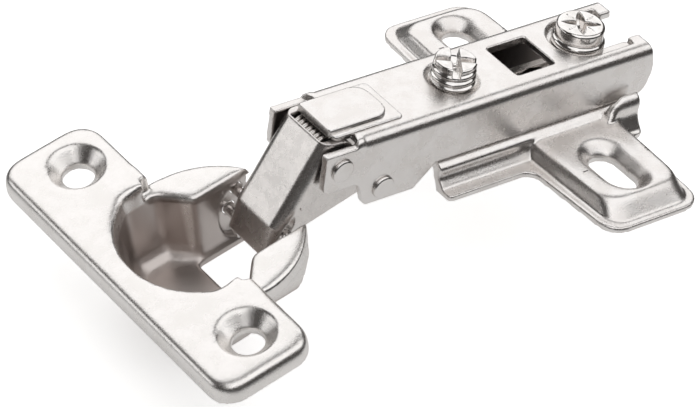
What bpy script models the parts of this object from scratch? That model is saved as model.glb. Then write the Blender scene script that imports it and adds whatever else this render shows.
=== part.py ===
"""Concealed cabinet hinge: cup, two links, arm and cross mounting plate, standing open.

The plate lies on the cabinet side at Z = 0 and its centre, between the two slots, is the
origin. The arm runs along X with its screw end at +X, the plate's wings run along Y, and the
whole hinge is symmetric about Y = 0. The cup is modelled in a frame of its own, U along the
flange's short side, Y, and N out of the door, and stands tilted at the end of the links.
"""
import math

import bmesh
import bpy
from mathutils import Matrix, Vector

# Clearances between neighbours
PIVOT_CLEARANCE = 0.00008
RIVET_CLEARANCE = 0.0001
SEAT_GAP = 0.0003
SIDE_CLEARANCE = 0.0002
SMALL = 0.0005

# Mounting plate: wings
PLATE_SPAN = 0.05125
PLATE_SHEET = 0.0013
PLATE_RIM = 0.0009
WING_ROOT_WIDTH = 0.0180
WING_TIP_WIDTH = 0.0160
WING_CORNER = 0.0030
WING_HEIGHT = 0.00325
WING_RIM_WIDTH = 0.0011
WING_TOP_ROOT_WIDTH = 0.0143
WING_TOP_TIP_WIDTH = 0.0130
WING_TOP_END_SETBACK = 0.0031
SLOT_SPACING = 0.0320
SLOT_TRAVEL = 0.00374
SLOT_WIDTH = 0.0042
SLOT_DISH_WIDTH = 0.0078
SLOT_DISH_DEPTH = 0.00165

# Mounting plate: rail under the arm
RAIL_FRONT = -0.02304
RAIL_REAR = 0.0109
RAIL_HEIGHT = 0.0042
RAIL_TOP_WIDTH = 0.0127
RAIL_BASE_WIDTH = 0.0159
RAIL_FOOT_WIDTH = 0.0196
HUMP_LENGTH = 0.0046
HUMP_HEIGHT = 0.0060
BOSS_X = -0.0012
BOSS_RADIUS = 0.0034
BOSS_TOP = 0.0084
NUT_COLLAR = 0.0012

# Arm
ARM_WIDTH = 0.01264
ARM_TOP = 0.01218
ARM_SHEET = 0.0012
ARM_BEND = 0.0011
ARM_FRONT = -0.0426
ARM_REAR = 0.0131
ARM_FOOT_GAP = 0.0002
NOSE_BOTTOM = 0.0052
NOSE_LENGTH = 0.0062
KNEE_BOTTOM = 0.0011
KNEE_FRONT = -0.0350
KNEE_REAR = -0.0268
KNEE_RAMP_END = -0.0235
NOSE_WALL_TOP = 0.0112
COVER_FRONT = -0.0405
COVER_REAR = -0.0304
COVER_WIDTH = 0.0069
COVER_RISE = 0.00082
COVER_SHEET = 0.0012
SHOULDER_X = -0.0372
WINDOW_FRONT = -0.0088
WINDOW_REAR = -0.0021
WINDOW_WIDTH = 0.0068
REAR_TAB = 0.00195
REAR_SLOT_WIDTH = 0.0050
REAR_MOUTH_WIDTH = 0.0059
SEAT_DEPTH = 0.00098
SEAT_CLEARANCE = 0.0007

# Screws
SIDE_SCREW_X = -0.01729
SIDE_SCREW_TOP = 0.0152
SIDE_BARREL = 0.0055
SIDE_COLLAR = 0.0063
SIDE_COLLAR_THICKNESS = 0.0010
SIDE_THREAD = 0.0046
SIDE_DISH = 0.0078
SIDE_DISH_DEPTH = 0.00055
SIDE_NECK = 0.0028
SIDE_BUTTON = 0.0048
SIDE_BUTTON_THICKNESS = 0.0009
FIXING_X = 0.00468
FIXING_HEAD = 0.0074
FIXING_HEAD_HEIGHT = 0.0030
FIXING_THREAD = 0.0040
FIXING_TIP = 0.0008
RECESS_BLADE = 0.0009
RECESS_DEPTH = 0.0016
DRIVER_SLOT = 0.0008
DRIVER_SLOT_DEPTH = 0.0008

# Pivots on the arm
FRONT_PIVOT = Vector((-0.03985, 0.0, 0.00851))
REAR_PIVOT = Vector((-0.03224, 0.0, 0.00341))
ARM_PIN = 0.0026
ARM_PIN_HEAD = 0.0033
ARM_PIN_HEAD_THICKNESS = 0.0004

# Outer link
LINK_WIDTH = 0.0092
LINK_SHEET = 0.0012
LINK_BEND = 0.0010
LINK_LOBE = 0.0031
LINK_WEB_SETBACK = 0.003925
LINK_LEAN = math.radians(23.9)
LINK_KNEE_DROP = 0.01206
LINK_TOE_LEAN = math.radians(11.3)
LINK_TOE_LENGTH = 0.0044
LINK_STUD_REACH = Vector((-0.00664, 0.0, -0.01275))
LINK_EYE = 0.0022

# Inner link
INNER_WIDTH = 0.0062
INNER_SHEET = 0.0011
INNER_HEIGHT = 0.0046
INNER_HOOK_WALL = 0.0008
OPEN_PIVOT_SHIFT = Vector((0.000735, 0.0, 0.000243))
OPEN_PIVOT_PLAY = 0.00083
HOOK_MOUTH = 0.00155

# Cup
CUP_TILT = math.radians(16.86)
CUP_SHEET = 0.0011
CUP_DIAMETER = 0.0255
CUP_CENTRE = 0.00718
CUP_FLOOR = 0.0133
CUP_HEEL = 0.0050
CUP_FOOT = 0.0030
CUP_POCKET_WIDTH = CUP_DIAMETER - 0.0049
CUP_CHANNEL_WIDTH = 0.0126
CUP_FRONT_RADIUS = CUP_DIAMETER / 2.0 - CUP_SHEET + 0.00005
CUP_POCKET_REAR = CUP_CENTRE - 0.00108
CUP_CHANNEL_START = CUP_CENTRE + 0.00242
CUP_FLARE = 0.00045
CUP_FLOOR_DRAFT = 0.0003
FLOOR_WINDOW_FRONT = CUP_CENTRE + 0.00067
FLOOR_WINDOW_WIDTH = 0.0104
FLANGE_LENGTH = 0.0516
FLANGE_FRONT = -0.00865
FLANGE_REAR = 0.0062
FLANGE_DEPTH = 0.0032
FLANGE_CORNER = 0.0035
FLANGE_EDGE = 0.0011
FLANGE_GAP_WIDTH = 0.0231
FLANGE_GAP_FRONT = 0.0048
SCREW_SPACING = 0.0380
SCREW_DISH = 0.00812
SCREW_HOLE = 0.0043
SCREW_DISH_DEPTH = 0.00193
EAR_DROP = 0.00285
EAR_SKIRT = 0.0024
STUD_U = 0.0146
STUD_N = -0.0084
STUD_DIAMETER = 0.0018
STUD_INNER_END = 0.0033
CUP_PIN_U = 0.0161
CUP_PIN_N = -0.0057
CUP_PIN_DIAMETER = 0.0016
PIN_PROUD = 0.0001
JOGGLE_DEPTH = 0.00035

# Torsion spring on the front pin
SPRING_WIRE = 0.00075
SPRING_COIL = 0.0044
SPRING_TURNS = 7.3
SPRING_PITCH = 0.00081
SPRING_ARM_LEG = 0.0052
SPRING_LINK_LEG = 0.0030

ROUND = 24


def rounded(corners, steps=4):
    """Closed outline through (a, b, radius) corners, each turned by an arc of its radius."""
    points = []
    for index, (a, b, radius) in enumerate(corners):
        here = Vector((a, b))
        if radius <= 0.0:
            points.append(here)
            continue
        before = Vector(corners[index - 1][:2]) - here
        after = Vector(corners[(index + 1) % len(corners)][:2]) - here
        half = before.angle(after) / 2.0
        reach = min(radius / math.tan(half), 0.49 * before.length, 0.49 * after.length)
        radius = reach * math.tan(half)
        bisector = (before.normalized() + after.normalized()).normalized()
        centre = here + bisector * (radius / math.sin(half))
        start = here + before.normalized() * reach - centre
        end = here + after.normalized() * reach - centre
        side = 1.0 if start.x * end.y - start.y * end.x > 0.0 else -1.0
        for step in range(steps + 1):
            angle = side * (math.pi - 2.0 * half) * step / steps
            cosine = math.cos(angle)
            sine = math.sin(angle)
            turned = Vector((start.x * cosine - start.y * sine, start.x * sine + start.y * cosine))
            points.append(centre + turned)
    return points


def mirrored(corners):
    """The given corners, followed by their mirror images about b = 0 in reverse order."""
    return list(corners) + [(a, -b, radius) for a, b, radius in reversed(corners)]


def loft(name, rings):
    """Closed solid whose skin joins the rings in order, with a flat face on both ends."""
    mesh = bpy.data.meshes.new(name)
    shape = bmesh.new()
    loops = [[shape.verts.new(point) for point in ring] for ring in rings]
    for lower, upper in zip(loops, loops[1:]):
        for index in range(len(lower)):
            following = (index + 1) % len(lower)
            shape.faces.new((lower[index], lower[following], upper[following], upper[index]))
    shape.faces.new(loops[0])
    shape.faces.new(loops[-1])
    bmesh.ops.recalc_face_normals(shape, faces=shape.faces)
    if len(rings) > 2:
        bmesh.ops.triangulate(shape, faces=shape.faces)
    shape.to_mesh(mesh)
    shape.free()
    piece = bpy.data.objects.new(name, mesh)
    bpy.context.scene.collection.objects.link(piece)
    return piece


def ring(outline, axis, level):
    """The outline laid across the axis at a level: (y, z) on X, (x, z) on Y, (x, y) on Z."""
    if axis == "X":
        return [Vector((level, a, b)) for a, b in outline]
    if axis == "Y":
        return [Vector((a, level, b)) for a, b in outline]
    return [Vector((a, b, level)) for a, b in outline]


def prism(name, outline, axis, low, high):
    """Straight solid of the outline along the axis, from low to high."""
    return loft(name, [ring(outline, axis, low), ring(outline, axis, high)])


def box(name, low, high):
    """Solid box between two opposite corners."""
    outline = [(low[0], low[1]), (high[0], low[1]), (high[0], high[1]), (low[0], high[1])]
    return prism(name, outline, "Z", low[2], high[2])


def circle(a, b, radius, count=ROUND):
    """Points of a circle about (a, b)."""
    turns = [2.0 * math.pi * (index + 0.5) / count for index in range(count)]
    return [(a + radius * math.cos(turn), b + radius * math.sin(turn)) for turn in turns]


def turned(name, axis, a, b, profile, count=ROUND):
    """Turned solid along the axis through (a, b); the profile holds (level, radius) pairs."""
    return loft(name, [ring(circle(a, b, radius, count), axis, level) for level, radius in profile])


def stadium(y, half_travel, radius):
    """Outline of a slot along Y about (0, y): two half circles joined by straight sides."""
    points = []
    for end, first in ((1.0, 0.0), (-1.0, math.pi)):
        for index in range(ROUND // 2 + 1):
            angle = first + math.pi * index / (ROUND // 2)
            points.append((radius * math.cos(angle), y + end * half_travel + radius * math.sin(angle)))
    return points


def combine(target, tool, operation):
    """Join, cut or intersect the target with the tool, which is used up."""
    modifier = target.modifiers.new(operation.title(), "BOOLEAN")
    modifier.operation = operation
    modifier.solver = "EXACT"
    modifier.object = tool
    graph = bpy.context.evaluated_depsgraph_get()
    result = bpy.data.meshes.new_from_object(target.evaluated_get(graph))
    target.modifiers.clear()
    former = target.data
    target.data = result
    bpy.data.meshes.remove(former)
    used = tool.data
    bpy.data.objects.remove(tool)
    bpy.data.meshes.remove(used)


def join(target, *tools):
    """Unite the tools with the target."""
    for tool in tools:
        combine(target, tool, "UNION")


def cut(target, *tools):
    """Take the tools out of the target."""
    for tool in tools:
        combine(target, tool, "DIFFERENCE")


def keep(target, *tools):
    """Leave of the target only what lies inside each tool."""
    for tool in tools:
        combine(target, tool, "INTERSECT")


def finish(piece, colour, roughness, pivot=Vector(), carrier=None):
    """Put the origin on the piece's axis, shade it smooth and give it its own metal."""
    piece.data.transform(Matrix.Translation(-pivot))
    piece.location = pivot
    if carrier is not None:
        piece.parent = carrier
    piece.data.shade_smooth()
    piece.data.set_sharp_from_angle(angle=math.radians(32.0))
    metal = bpy.data.materials.new(piece.name + "_metal")
    metal.use_nodes = True
    shader = metal.node_tree.nodes["Principled BSDF"]
    shader.inputs["Base Color"].default_value = (*colour, 1.0)
    shader.inputs["Metallic"].default_value = 1.0
    shader.inputs["Roughness"].default_value = roughness
    piece.data.materials.clear()
    piece.data.materials.append(metal)
    return piece


NICKEL = (0.74, 0.72, 0.70)
BRIGHT_NICKEL = (0.80, 0.79, 0.77)
SPRING_STEEL = (0.56, 0.55, 0.54)


def wing_outline(root_half, tip_half, inner_end, outer_end, corner):
    """Outline of a wing that narrows from the rail to its rounded end."""
    return rounded([
        (-root_half, inner_end, 0.0),
        (-tip_half, outer_end, corner),
        (tip_half, outer_end, corner),
        (root_half, inner_end, 0.0),
    ], 6)


def build_mounting_plate():
    """Sheet plate: two dished wings, a raised rail under the arm and two rear humps."""
    half_span = PLATE_SPAN / 2.0
    foot = RAIL_FOOT_WIDTH / 2.0
    root = WING_ROOT_WIDTH / 2.0
    tip = WING_TIP_WIDTH / 2.0
    base = rounded(mirrored([
        (RAIL_FRONT, foot, SMALL),
        (-root, foot, 0.0020),
        (-tip, half_span, WING_CORNER),
        (tip, half_span, WING_CORNER),
        (root, foot, 0.0012),
        (RAIL_REAR, foot, SMALL),
    ]), 5)
    plate = prism("mounting_plate", base, "Z", 0.0, PLATE_RIM)

    rail_low = PLATE_RIM - 0.0004
    rail = rounded(mirrored([
        (rail_low, RAIL_BASE_WIDTH / 2.0 + 0.0010, 0.0),
        (PLATE_RIM + 0.00015, RAIL_BASE_WIDTH / 2.0, 0.0009),
        (RAIL_HEIGHT, RAIL_TOP_WIDTH / 2.0, 0.0012),
    ]))
    rail = [(y, z) for z, y in rail]
    join(plate, prism("rail", rail, "X", RAIL_FRONT, RAIL_REAR))

    wall = RAIL_BASE_WIDTH / 2.0 - PLATE_SHEET
    for side in (-1.0, 1.0):
        start = side * (RAIL_TOP_WIDTH / 2.0 - 0.0012)
        end = side * (half_span - WING_RIM_WIDTH)
        top_end = side * (half_span - WING_TOP_END_SETBACK)
        base_root = root - WING_RIM_WIDTH
        base_tip = tip - WING_RIM_WIDTH
        top_root = WING_TOP_ROOT_WIDTH / 2.0
        top_tip = WING_TOP_TIP_WIDTH / 2.0
        shoulder = WING_HEIGHT - 0.0003
        join(plate, loft("wing", [
            ring(wing_outline(base_root, base_tip, start, end, 0.0026), "Z", 0.0004),
            ring(wing_outline(base_root, base_tip, start, end, 0.0026), "Z", PLATE_RIM + 0.0001),
            ring(wing_outline(top_root + 0.0001, top_tip + 0.0001, start, top_end + side * 0.0001,
                              0.0031), "Z", shoulder),
            ring(wing_outline(top_root - 0.0003, top_tip - 0.0003, start, top_end - side * 0.0003,
                              0.0029), "Z", WING_HEIGHT),
        ]))

    hump_inner = ARM_WIDTH / 2.0 + SEAT_GAP + SIDE_CLEARANCE
    hump_front = RAIL_REAR - HUMP_LENGTH
    for side in (-1.0, 1.0):
        section = rounded([
            (side * hump_inner, 0.0010, 0.0),
            (side * hump_inner, HUMP_HEIGHT, 0.0003),
            (side * (hump_inner + 0.0007), HUMP_HEIGHT, 0.0003),
            (side * (hump_inner + 0.0014), 0.0040, 0.0),
            (side * (hump_inner + 0.0020), 0.0023, 0.0008),
            (side * (hump_inner + 0.0027), 0.0006, 0.0),
        ])
        hump = prism("hump", section, "X", hump_front - 0.0025, RAIL_REAR)
        side_view = rounded([
            (hump_front - 0.0019, 0.0, 0.0),
            (hump_front - 0.0019, PLATE_SHEET * 2.0, 0.0),
            (hump_front, HUMP_HEIGHT - 0.0007, 0.0006),
            (hump_front + 0.0015, HUMP_HEIGHT + 0.0001, 0.0005),
            (RAIL_REAR + SMALL, HUMP_HEIGHT + 0.0001, 0.0),
            (RAIL_REAR + SMALL, 0.0, 0.0),
        ])
        keep(hump, prism("hump_side", side_view, "Y", -0.02, 0.02))
        join(plate, hump)

    join(plate, turned("boss", "Z", BOSS_X, 0.0, [
        (RAIL_HEIGHT - 0.0008, BOSS_RADIUS + 0.0005),
        (RAIL_HEIGHT + 0.0002, BOSS_RADIUS + 0.0001),
        (RAIL_HEIGHT + 0.0009, BOSS_RADIUS - 0.0003),
        (BOSS_TOP - 0.0020, BOSS_RADIUS - 0.0006),
        (BOSS_TOP - 0.0010, BOSS_RADIUS - 0.0012),
        (BOSS_TOP - 0.0003, BOSS_RADIUS - 0.0021),
        (BOSS_TOP, BOSS_RADIUS - 0.0030),
    ]))

    pocket = rounded(mirrored([
        (-SMALL, wall + 0.0002, 0.0),
        (PLATE_RIM * 0.4, wall, 0.0),
        (RAIL_HEIGHT - PLATE_SHEET, RAIL_TOP_WIDTH / 2.0 - PLATE_SHEET + 0.0003, 0.0005),
    ]))
    pocket = [(y, z) for z, y in pocket]
    cut(plate, prism("rail_pocket", pocket, "X", RAIL_FRONT - SMALL, RAIL_REAR + SMALL))
    for side in (-1.0, 1.0):
        start = side * (wall - 0.0016)
        end = side * (half_span - WING_RIM_WIDTH - PLATE_SHEET * 0.7)
        top_end = side * (half_span - WING_TOP_END_SETBACK - PLATE_SHEET * 0.7)
        inset = WING_RIM_WIDTH + PLATE_SHEET * 0.7
        cut(plate, loft("wing_pocket", [
            ring(wing_outline(root - inset, tip - inset, start, end, 0.0018), "Z", -SMALL),
            ring(wing_outline(root - inset, tip - inset, start, end, 0.0018), "Z", SMALL * 0.6),
            ring(wing_outline(WING_TOP_ROOT_WIDTH / 2.0 - PLATE_SHEET * 0.7,
                              WING_TOP_TIP_WIDTH / 2.0 - PLATE_SHEET * 0.7,
                              start, top_end, 0.0022), "Z", WING_HEIGHT - PLATE_SHEET),
        ]))
    cut(plate, turned("boss_pocket", "Z", BOSS_X, 0.0, [
        (RAIL_HEIGHT - PLATE_SHEET - SMALL, BOSS_RADIUS - 0.0008),
        (BOSS_TOP - 0.0026, BOSS_RADIUS - 0.0018),
        (BOSS_TOP - 0.0014, BOSS_RADIUS - 0.0027),
    ]))

    for side in (-1.0, 1.0):
        centre = side * SLOT_SPACING / 2.0
        travel = SLOT_TRAVEL / 2.0
        inner = SLOT_WIDTH / 2.0
        outer = SLOT_DISH_WIDTH / 2.0
        dish_level = WING_HEIGHT - SLOT_DISH_DEPTH
        join(plate, loft("dish", [
            ring(stadium(centre, travel, inner + 0.0010), "Z", dish_level - 0.0010),
            ring(stadium(centre, travel, outer + 0.0009), "Z", WING_HEIGHT - 0.0005),
        ]))
        cut(plate, loft("slot", [
            ring(stadium(centre, travel, inner), "Z", -SMALL),
            ring(stadium(centre, travel, inner), "Z", dish_level),
            ring(stadium(centre, travel, outer - 0.0003), "Z", WING_HEIGHT - 0.0002),
            ring(stadium(centre, travel, outer + 0.0002), "Z", WING_HEIGHT + 0.0001),
        ]))

    thread = FIXING_THREAD / 2.0 + PIVOT_CLEARANCE
    join(plate, turned("nut_collar", "Z", FIXING_X, 0.0, [
        (FIXING_TIP + SMALL, thread + NUT_COLLAR),
        (RAIL_HEIGHT - SMALL, thread + NUT_COLLAR),
    ]))
    cut(plate, turned("nut_hole", "Z", FIXING_X, 0.0, [
        (-SMALL, thread),
        (RAIL_HEIGHT + 0.0030, thread),
    ]))

    neck = SIDE_NECK / 2.0 + SIDE_CLEARANCE
    keyhole_end = SIDE_SCREW_X + neck + 0.0004
    cut(plate, prism("keyhole", rounded(mirrored([
        (RAIL_FRONT - SMALL, neck + 0.0006, 0.0),
        (RAIL_FRONT + 0.0012, neck, 0.0),
        (keyhole_end, neck, neck * 0.98),
    ])), "Z", SMALL, RAIL_HEIGHT + SMALL))
    return finish(plate, NICKEL, 0.24)


def arm_side_view():
    """Outline of the arm seen from the side: nose, knee, straight foot and rounded tail."""
    foot = RAIL_HEIGHT + ARM_FOOT_GAP
    over = ARM_TOP + SMALL
    return rounded([
        (ARM_FRONT + 0.0002, NOSE_BOTTOM, 0.0010),
        (ARM_FRONT + NOSE_LENGTH, NOSE_BOTTOM, 0.0016),
        (KNEE_FRONT, KNEE_BOTTOM, 0.0010),
        (KNEE_REAR, KNEE_BOTTOM, SMALL),
        (KNEE_RAMP_END, foot, SMALL),
        (ARM_REAR - 0.0002, foot, 0.0022),
        (ARM_REAR + 0.0008, foot + 0.0038, 0.0030),
        (ARM_REAR - 0.0002, over, 0.0),
        (ARM_FRONT - 0.0002, over, 0.0),
    ])


def build_hinge_arm():
    """Pressed channel with raised cover, side-screw hole, window and open rear seat."""
    half = ARM_WIDTH / 2.0
    inner = half - ARM_SHEET
    section = rounded([
        (-half, 0.0, 0.0),
        (-half, ARM_TOP, ARM_BEND),
        (half, ARM_TOP, ARM_BEND),
        (half, 0.0, 0.0),
    ], 5)
    arm = prism("hinge_arm", section, "X", ARM_FRONT - 0.002, ARM_REAR + 0.002)
    keep(arm, prism("arm_side", arm_side_view(), "Y", -0.02, 0.02))

    top = ARM_TOP + SMALL
    for side in (-1.0, 1.0):
        edge = side * COVER_WIDTH / 2.0
        shoulder = [
            (ARM_FRONT - 0.003, edge), (SHOULDER_X + 0.0004, edge),
            (SHOULDER_X - 0.0007, side * (half + SMALL)), (ARM_FRONT - 0.003, side * (half + SMALL)),
        ]
        cut(arm, prism("shoulder", shoulder, "Z", NOSE_WALL_TOP, top))
    cut(arm, box("nose_mouth", (ARM_FRONT - 0.003, -COVER_WIDTH / 2.0 - SMALL, 0.008),
                 (COVER_FRONT, COVER_WIDTH / 2.0 + SMALL, top)))

    cover_top = ARM_TOP + COVER_RISE
    cover = rounded(mirrored([
        (COVER_FRONT, COVER_WIDTH / 2.0, 0.0003),
        (COVER_REAR, COVER_WIDTH / 2.0, 0.0020),
    ]), 6)
    join(arm, prism("cover", cover, "Z", cover_top - COVER_SHEET, cover_top))

    channel = rounded([
        (-inner, -SMALL, 0.0),
        (-inner, ARM_TOP - ARM_SHEET, 0.0003),
        (inner, ARM_TOP - ARM_SHEET, 0.0003),
        (inner, -SMALL, 0.0),
    ], 2)
    cut(arm, prism("channel", channel, "X", ARM_FRONT - 0.004, ARM_REAR + 0.004))
    cut(arm, box("nose_pocket", (ARM_FRONT - 0.004, -inner, 0.009),
                 (SHOULDER_X, inner, cover_top - COVER_SHEET)))
    cut(arm, box("cover_pocket", (SHOULDER_X - 0.001, -COVER_WIDTH / 2.0 + 0.0006, 0.009),
                 (COVER_REAR - 0.0012, COVER_WIDTH / 2.0 - 0.0006, cover_top - COVER_SHEET)))

    seat = FIXING_HEAD / 2.0 + SEAT_CLEARANCE
    seat_level = ARM_TOP - SEAT_DEPTH
    tab_front = ARM_REAR - REAR_TAB
    join(arm, prism("seat_floor", rounded(mirrored([
        (FIXING_X - seat - 0.0004, seat + 0.0004, seat * 0.9),
        (tab_front - 0.0004, seat + 0.0004, SMALL),
    ]), 8), "Z", seat_level - ARM_SHEET, ARM_TOP - 0.0004))
    cut(arm, prism("seat", rounded(mirrored([
        (FIXING_X - seat, seat, seat * 0.98),
        (tab_front, seat, SMALL),
    ]), 12), "Z", seat_level, top))
    slot = REAR_SLOT_WIDTH / 2.0
    mouth = REAR_MOUTH_WIDTH / 2.0
    cut(arm, prism("rear_slot", rounded(mirrored([
        (FIXING_X - slot, slot, slot * 0.98),
        (tab_front, slot, 0.0),
        (tab_front, mouth, 0.0),
        (ARM_REAR + 0.002, mouth, 0.0),
    ]), 8), "Z", 0.008, top))

    cut(arm, prism("window", rounded(mirrored([
        (WINDOW_FRONT, WINDOW_WIDTH / 2.0, 0.0004),
        (WINDOW_REAR, WINDOW_WIDTH / 2.0, 0.0004),
    ]), 3), "Z", 0.008, top))
    thread = SIDE_THREAD / 2.0 + PIVOT_CLEARANCE
    dish_floor = ARM_TOP - SIDE_DISH_DEPTH
    cut(arm, turned("side_hole", "Z", SIDE_SCREW_X, 0.0, [
        (0.008, thread), (dish_floor, thread),
        (dish_floor + 0.00001, SIDE_COLLAR / 2.0 + SIDE_CLEARANCE),
        (ARM_TOP, SIDE_DISH / 2.0), (top, SIDE_DISH / 2.0 + 0.0005),
    ]))
    for pivot in (FRONT_PIVOT, REAR_PIVOT):
        bore = ARM_PIN / 2.0 + RIVET_CLEARANCE
        cut(arm, turned("bore", "Y", pivot.x, pivot.z, [(-0.02, bore), (0.02, bore)]))
    return finish(arm, NICKEL, 0.22)


def build_arm_pin(name, pivot):
    """Riveted pin across the arm, with a thin round head outside each wall."""
    wall = ARM_WIDTH / 2.0 + RIVET_CLEARANCE
    face = wall + ARM_PIN_HEAD_THICKNESS
    body = ARM_PIN / 2.0
    head = ARM_PIN_HEAD / 2.0
    pin = turned(name, "Y", pivot.x, pivot.z, [
        (-face, head - 0.00025), (-face + 0.0002, head), (-wall, head), (-wall + 0.00001, body),
        (wall - 0.00001, body), (wall, head), (face - 0.0002, head), (face, head - 0.00025),
    ])
    return finish(pin, NICKEL, 0.26, pivot)


def direction(angle):
    """Unit vector in the XZ plane, its angle measured from +X towards +Z."""
    return Vector((math.cos(angle), 0.0, math.sin(angle)))


def link_lines():
    """Points on the outer face of the outer link's web: top edge, knee and toe."""
    down = -direction(math.pi / 2.0 - LINK_LEAN)
    out = direction(math.pi - LINK_LEAN)
    foot = FRONT_PIVOT + out * LINK_WEB_SETBACK
    top = foot - down * 0.0038
    knee = foot + down * (LINK_KNEE_DROP * 0.66)
    toe = knee - direction(math.pi / 2.0 - LINK_TOE_LEAN) * LINK_TOE_LENGTH
    return top, knee, toe, down, out


def cup_point(u, n):
    """World place of a point of the cup's frame on the middle plane."""
    stud = FRONT_PIVOT + LINK_STUD_REACH
    along = direction(CUP_TILT)
    normal = direction(CUP_TILT + math.pi / 2.0)
    return stud + along * (u - STUD_U) + normal * (n - STUD_N)


def link_envelope(top, knee, toe, down, out, half):
    """Bent bar with both front edges rounded, which the folded link is cut from."""
    toe_down = -direction(math.pi / 2.0 - LINK_TOE_LEAN)
    toe_out = direction(math.pi - LINK_TOE_LEAN)
    mitre = (out + toe_out).normalized()
    mitre /= mitre.dot(out)
    proud = half + 0.0001
    rings = []
    for place, depth in (
        (top - down * 0.008 + out * 0.0001, out),
        (knee + out * 0.0001, mitre),
        (toe + toe_down * 0.006 + toe_out * 0.0001, toe_out),
    ):
        rings.append([
            place - depth * a + Vector((0.0, b, 0.0))
            for a, b in rounded([
                (0.0, -proud, LINK_BEND), (0.0, proud, LINK_BEND),
                (0.022, proud, 0.0), (0.022, -proud, 0.0),
            ], 5)
        ])
    return loft("link_envelope", rings)


def build_outer_link():
    """Folded link: bent web between two cheeks that hold the front pin and the cup studs."""
    top, knee, toe, down, out = link_lines()
    stud = FRONT_PIVOT + LINK_STUD_REACH
    half = LINK_WIDTH / 2.0
    inner = half - LINK_SHEET
    crown = FRONT_PIVOT.z + LINK_LOBE
    notch_top = knee - out * 0.0014 - down * 0.0022
    notch_low = stud + out * 0.00162 - down * 0.00149
    cheek = [
        (top.x, crown, 0.0004),
        (FRONT_PIVOT.x + LINK_LOBE, crown, LINK_LOBE * 0.99),
        (FRONT_PIVOT.x + LINK_LOBE, FRONT_PIVOT.z - 0.0028, 0.0026),
        (FRONT_PIVOT.x - 0.0004, FRONT_PIVOT.z - 0.0046, 0.0010),
        (FRONT_PIVOT.x - 0.0024, FRONT_PIVOT.z - 0.0053, 0.0006),
        (FRONT_PIVOT.x - 0.0042, FRONT_PIVOT.z - 0.0069, 0.0004),
        (notch_top.x, notch_top.z, 0.0006),
        (notch_low.x, notch_low.z, 0.0),
    ]
    for step in range(8):
        angle = math.radians(100.0 - 24.0 * step)
        point = stud + direction(angle) * LINK_EYE
        cheek.append((point.x, point.z, 0.0))
    cheek += [
        (stud.x - 0.0002, stud.z - 0.0028, 0.0010),
        (toe.x + 0.0006, stud.z - 0.0024, 0.0014),
        (toe.x, toe.z, 0.0),
        (knee.x, knee.z, 0.0020),
    ]
    link = prism("outer_link", rounded(cheek), "Y", -half, half)
    keep(link, link_envelope(top, knee, toe, down, out, half))
    fold = Vector((out.x, 0.0, out.z)) * LINK_SHEET
    middle_toe = toe - direction(math.pi - LINK_TOE_LEAN) * LINK_SHEET
    middle_knee = knee - fold
    hollow = [
        (top.x - fold.x - down.x * 0.004, top.z - fold.z - down.z * 0.004),
        (middle_knee.x, middle_knee.z), (middle_toe.x, middle_toe.z),
        (toe.x - 0.004, toe.z), (toe.x - 0.004, toe.z - 0.008),
        (FRONT_PIVOT.x + 0.008, toe.z - 0.008), (FRONT_PIVOT.x + 0.008, crown + 0.004),
    ]
    cut(link, prism("hollow", hollow, "Y", -inner, inner))
    for pivot, radius in ((FRONT_PIVOT, ARM_PIN / 2.0), (stud, STUD_DIAMETER / 2.0)):
        bore = radius + PIVOT_CLEARANCE
        cut(link, turned("bore", "Y", pivot.x, pivot.z, [(-0.02, bore), (0.02, bore)]))
    return finish(link, NICKEL, 0.28, FRONT_PIVOT)


def build_inner_link():
    """Short channel link from the rear pin to the cup pin, ending in an open hook."""
    pin = cup_point(CUP_PIN_U, CUP_PIN_N)
    hook = pin + OPEN_PIVOT_SHIFT
    reach = hook - REAR_PIVOT
    length = reach.length
    half = INNER_WIDTH / 2.0
    inner = half - INNER_SHEET
    edge = INNER_HEIGHT / 2.0
    eye = CUP_PIN_DIAMETER / 2.0 + OPEN_PIVOT_PLAY
    end = eye + INNER_HOOK_WALL
    link = prism("inner_link", rounded(mirrored([
        (-edge, edge, edge * 0.98), (length + end, edge, edge * 0.98),
    ]), 8), "Y", -half, half)
    web_start = ARM_PIN / 2.0 + 0.0018
    web_end = length - end - 0.0010
    web_low = edge - INNER_SHEET
    cut(link, box("hollow", (-0.01, -inner, -0.01), (length + 0.01, inner, web_low)))
    cut(link, box("hollow", (-0.01, -inner, -0.01), (web_start, inner, 0.01)))
    cut(link, box("hollow", (web_end, -inner, -0.01), (length + 0.01, inner, 0.01)))
    bore = ARM_PIN / 2.0 + PIVOT_CLEARANCE
    cut(link, turned("bore", "Y", 0.0, 0.0, [(-0.02, bore), (0.02, bore)]))
    cut(link, turned("eye", "Y", length, 0.0, [(-0.02, eye), (0.02, eye)]))
    slope = math.atan2(reach.z, reach.x)
    link.data.transform(Matrix.Translation(REAR_PIVOT) @ Matrix.Rotation(-slope, 4, "Y")
                        @ Matrix.Diagonal((1.0, 1.0, -1.0, 1.0)))
    link.data.flip_normals()
    top, knee, toe, down, out = link_lines()
    face = knee - out * HOOK_MOUTH
    mouth = [
        (face.x - down.x * 0.02, face.z - down.z * 0.02),
        (face.x + down.x * 0.02, face.z + down.z * 0.02),
        (face.x + down.x * 0.02 + out.x * 0.01, face.z + down.z * 0.02 + out.z * 0.01),
        (face.x - down.x * 0.02 + out.x * 0.01, face.z - down.z * 0.02 + out.z * 0.01),
    ]
    cut(link, prism("mouth", mouth, "Y", -0.01, 0.01))
    return finish(link, NICKEL, 0.30, REAR_PIVOT)


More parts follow.
